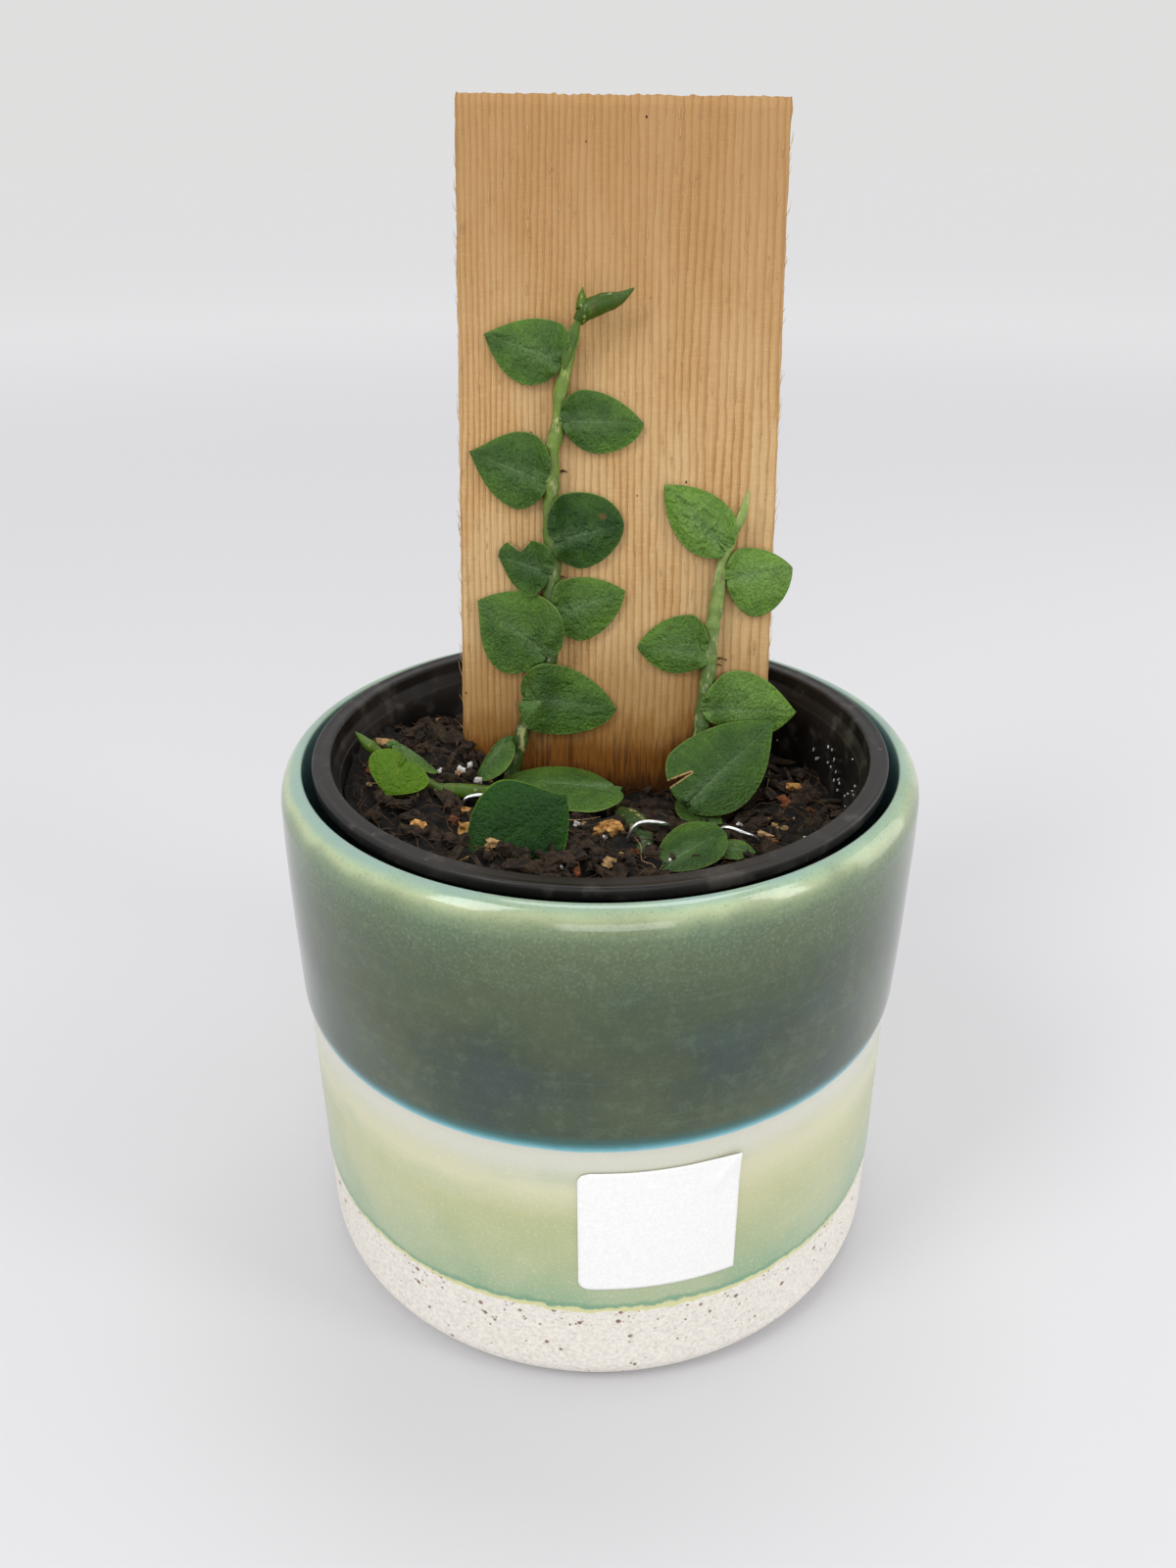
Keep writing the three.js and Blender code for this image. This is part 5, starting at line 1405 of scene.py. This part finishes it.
def growing_tips():
    """The rolled leaf at the left stem's top with its papery spur, and the right stem's spike."""
    outward = BOARD[:3, 2]
    roll = tube(transform(ROLL, BOARD), [1.7, 2.7, 2.9, 2.5, 1.4, 0.15], 16, 40, flat=0.9, seed=61,
                bumps=0.06)
    point = tube(transform(SPUR, BOARD), [2, 1.2, 0.12], 10, 16)
    sheath = tube(transform(SHEATH, BOARD), [0.2, 1.3, 1.55, 1.6, 1.2, 0.3], 14, 40, flat=0.34, seed=65,
                  bumps=0.05, face=outward)
    bodies = (roll[:2], point[:2], sheath[:2])
    down = [np.full(len(body[0]), share) for body, share in zip(bodies, (0.45, 0.05, 0))]
    make_piece("left_growing_tip", *combine(bodies), LIME_STEM, "young_leaf", ["left_growing_tip"],
               {"down": np.concatenate(down)})
    spike = transform(SPIKE, BOARD)
    plain_stem("right_growing_tip", spike, [0.4, 1.3, 1.35, 1.1, 0.6, 0.12], RIGHT_GREEN, "young_leaf",
               down=0.1, seed=63, flat=0.6, face=outward)


def wire_pins():
    """The bent wires that hold the stems down."""
    for name, path in WIRE_PINS.items():
        vertices, faces, _ = tube(path, [WIRE_RADIUS, WIRE_RADIUS], 12, 60)
        make_piece(name, vertices, faces, WIRE, "wire", [name])


# Stage

def camera():
    """The view of the photo."""
    yaw, pitch, roll = CAMERA_YAW, CAMERA_PITCH, CAMERA_ROLL
    forward = Vector((math.sin(yaw) * math.cos(pitch), math.cos(yaw) * math.cos(pitch), -math.sin(pitch)))
    right = Vector((math.cos(yaw), -math.sin(yaw), 0))
    up = right.cross(forward)
    level = math.cos(roll) * right + math.sin(roll) * up
    upright = -math.sin(roll) * right + math.cos(roll) * up
    turn = Matrix((level, upright, -forward)).transposed().to_4x4()
    lens = bpy.data.cameras.new("camera")
    lens.sensor_fit = "VERTICAL"
    lens.sensor_height = SENSOR
    lens.lens = CAMERA_LENS
    lens.clip_start = 0.01
    item = add_item("camera", lens)
    item.matrix_world = Matrix.Translation(Vector(CAMERA_PLACE) * MM) @ turn
    bpy.context.scene.camera = item


def floor():
    """A wide pale floor that brightens into the background far away."""
    shader = Shader("floor", Base_Color=FLOOR_COLOUR, Roughness=0.9, Specular_IOR_Level=0.1)
    shader.surface.inputs["Emission Color"].default_value = (*BACKGROUND, 1)
    shader.set(Emission_Strength=shader.remap(shader.length(shader.place()), 0.3, 2.5, 0, FAR_GLOW))
    corners = [(x * FLOOR_REACH, y * FLOOR_REACH, 0) for x, y in ((-1, -1), (1, -1), (1, 1), (-1, 1))]
    mesh = new_mesh("floor", corners, [(0, 1, 2, 3)])
    mesh.materials.append(shader.material)
    item = add_item("floor", mesh)


def light(name, place, target, size, power):
    """A flat lamp, its place, aim and size in metres."""
    lamp = bpy.data.lights.new(name, "AREA")
    lamp.shape = "RECTANGLE"
    lamp.size, lamp.size_y = size
    lamp.energy = power
    item = add_item(name, lamp)
    item.location = place
    aim = Vector(target) - Vector(place)
    item.rotation_euler = aim.to_track_quat("-Z", "Y").to_euler()


def studio():
    """Even light from all round, and five soft lamps."""
    world = bpy.data.worlds.new("studio")
    world.use_nodes = True
    back = world.node_tree.nodes["Background"]
    back.inputs["Color"].default_value = (*BACKGROUND, 1)
    back.inputs["Strength"].default_value = 1.0
    bpy.context.scene.world = world
    bpy.context.scene.view_settings.view_transform = "Standard"
    light("key", (-0.9, -0.7, 1.3), (0, 0, 0.12), (0.5, 0.9), 9)
    light("fill", (1.1, -0.5, 0.9), (0, 0, 0.12), (0.3, 0.9), 4)
    light("top", (0.1, 0.5, 1.6), (0, 0, 0.1), (0.9, 0.6), 7)
    light("right", (1.0, 0.25, 0.3), (0, 0, 0.1), (0.5, 0.7), 1.5)
    light("front", (0.1, -1.2, 0.5), (0, 0, 0.05), (0.8, 0.4), 3.2)


camera()
floor()
studio()
cedar_board()
board_fibres()
cover_pot()
nursery_pot()
label()
soil()
scatter("bark_chips", BARK, 520, ((1.5, 7), (1, 3.4), (0.8, 2.2)), seed=11, spots=BARK_SPOTS)
scatter("red_bark_chips", RED_BARK, 46, ((1.5, 4.5), (1, 2.2), (0.6, 1.4)), seed=12)
scatter("tan_bits", TAN_BITS, 80, ((0.8, 3), (0.6, 1.5), (0.4, 1)), seed=13, spots=TAN_SPOTS)
scatter("golden_bits", GOLD_BITS, 16, ((0.8, 2), (0.6, 1.5), (0.4, 1)), seed=17, spots=GOLD_SPOTS)
scatter("perlite", PERLITE, 26, ((0.8, 1.8), (0.8, 1.6), (0.7, 1.3)), seed=14, spots=PERLITE_SPOTS)
fibres("coir", COIR, 460, (5, 16), radius=0.16, seed=15)
fibres("root_hairs", FIBRE, 16, (10, 26), radius=0.07, seed=16)
wall_specks()
climbing_stem("left_stem", LEFT_STEM, 1.6, STEM, seed=51)
climbing_stem("right_stem", RIGHT_STEM, 1.5, RIGHT_GREEN, seed=52)
place_leaves()
growing_tips()
rootlets()
plain_stem("creeping_stem", CREEPING_STEM, [2, 2.3, 2.5, 2.6, 2.9, 2.8, 2.6, 2], CREEPING, "stem",
           down=0.9, seed=53, flat=0.72, face=(0, 0, 1))
plain_stem("shoot_stem", SHOOT, [1.4, 1.5, 1.6, 1.6, 2, 2.1, 1.7, 1.5, 1.4, 1.3, 1.2], LIME_STEM, "stem",
           down=0.3, seed=54)
plain_stem("shoot_tip", SHOOT_TIP, [1.2, 1.7, 1.1, 0.12], LIME_STEM, "young_leaf", down=0.1, seed=55)
wire_pins()
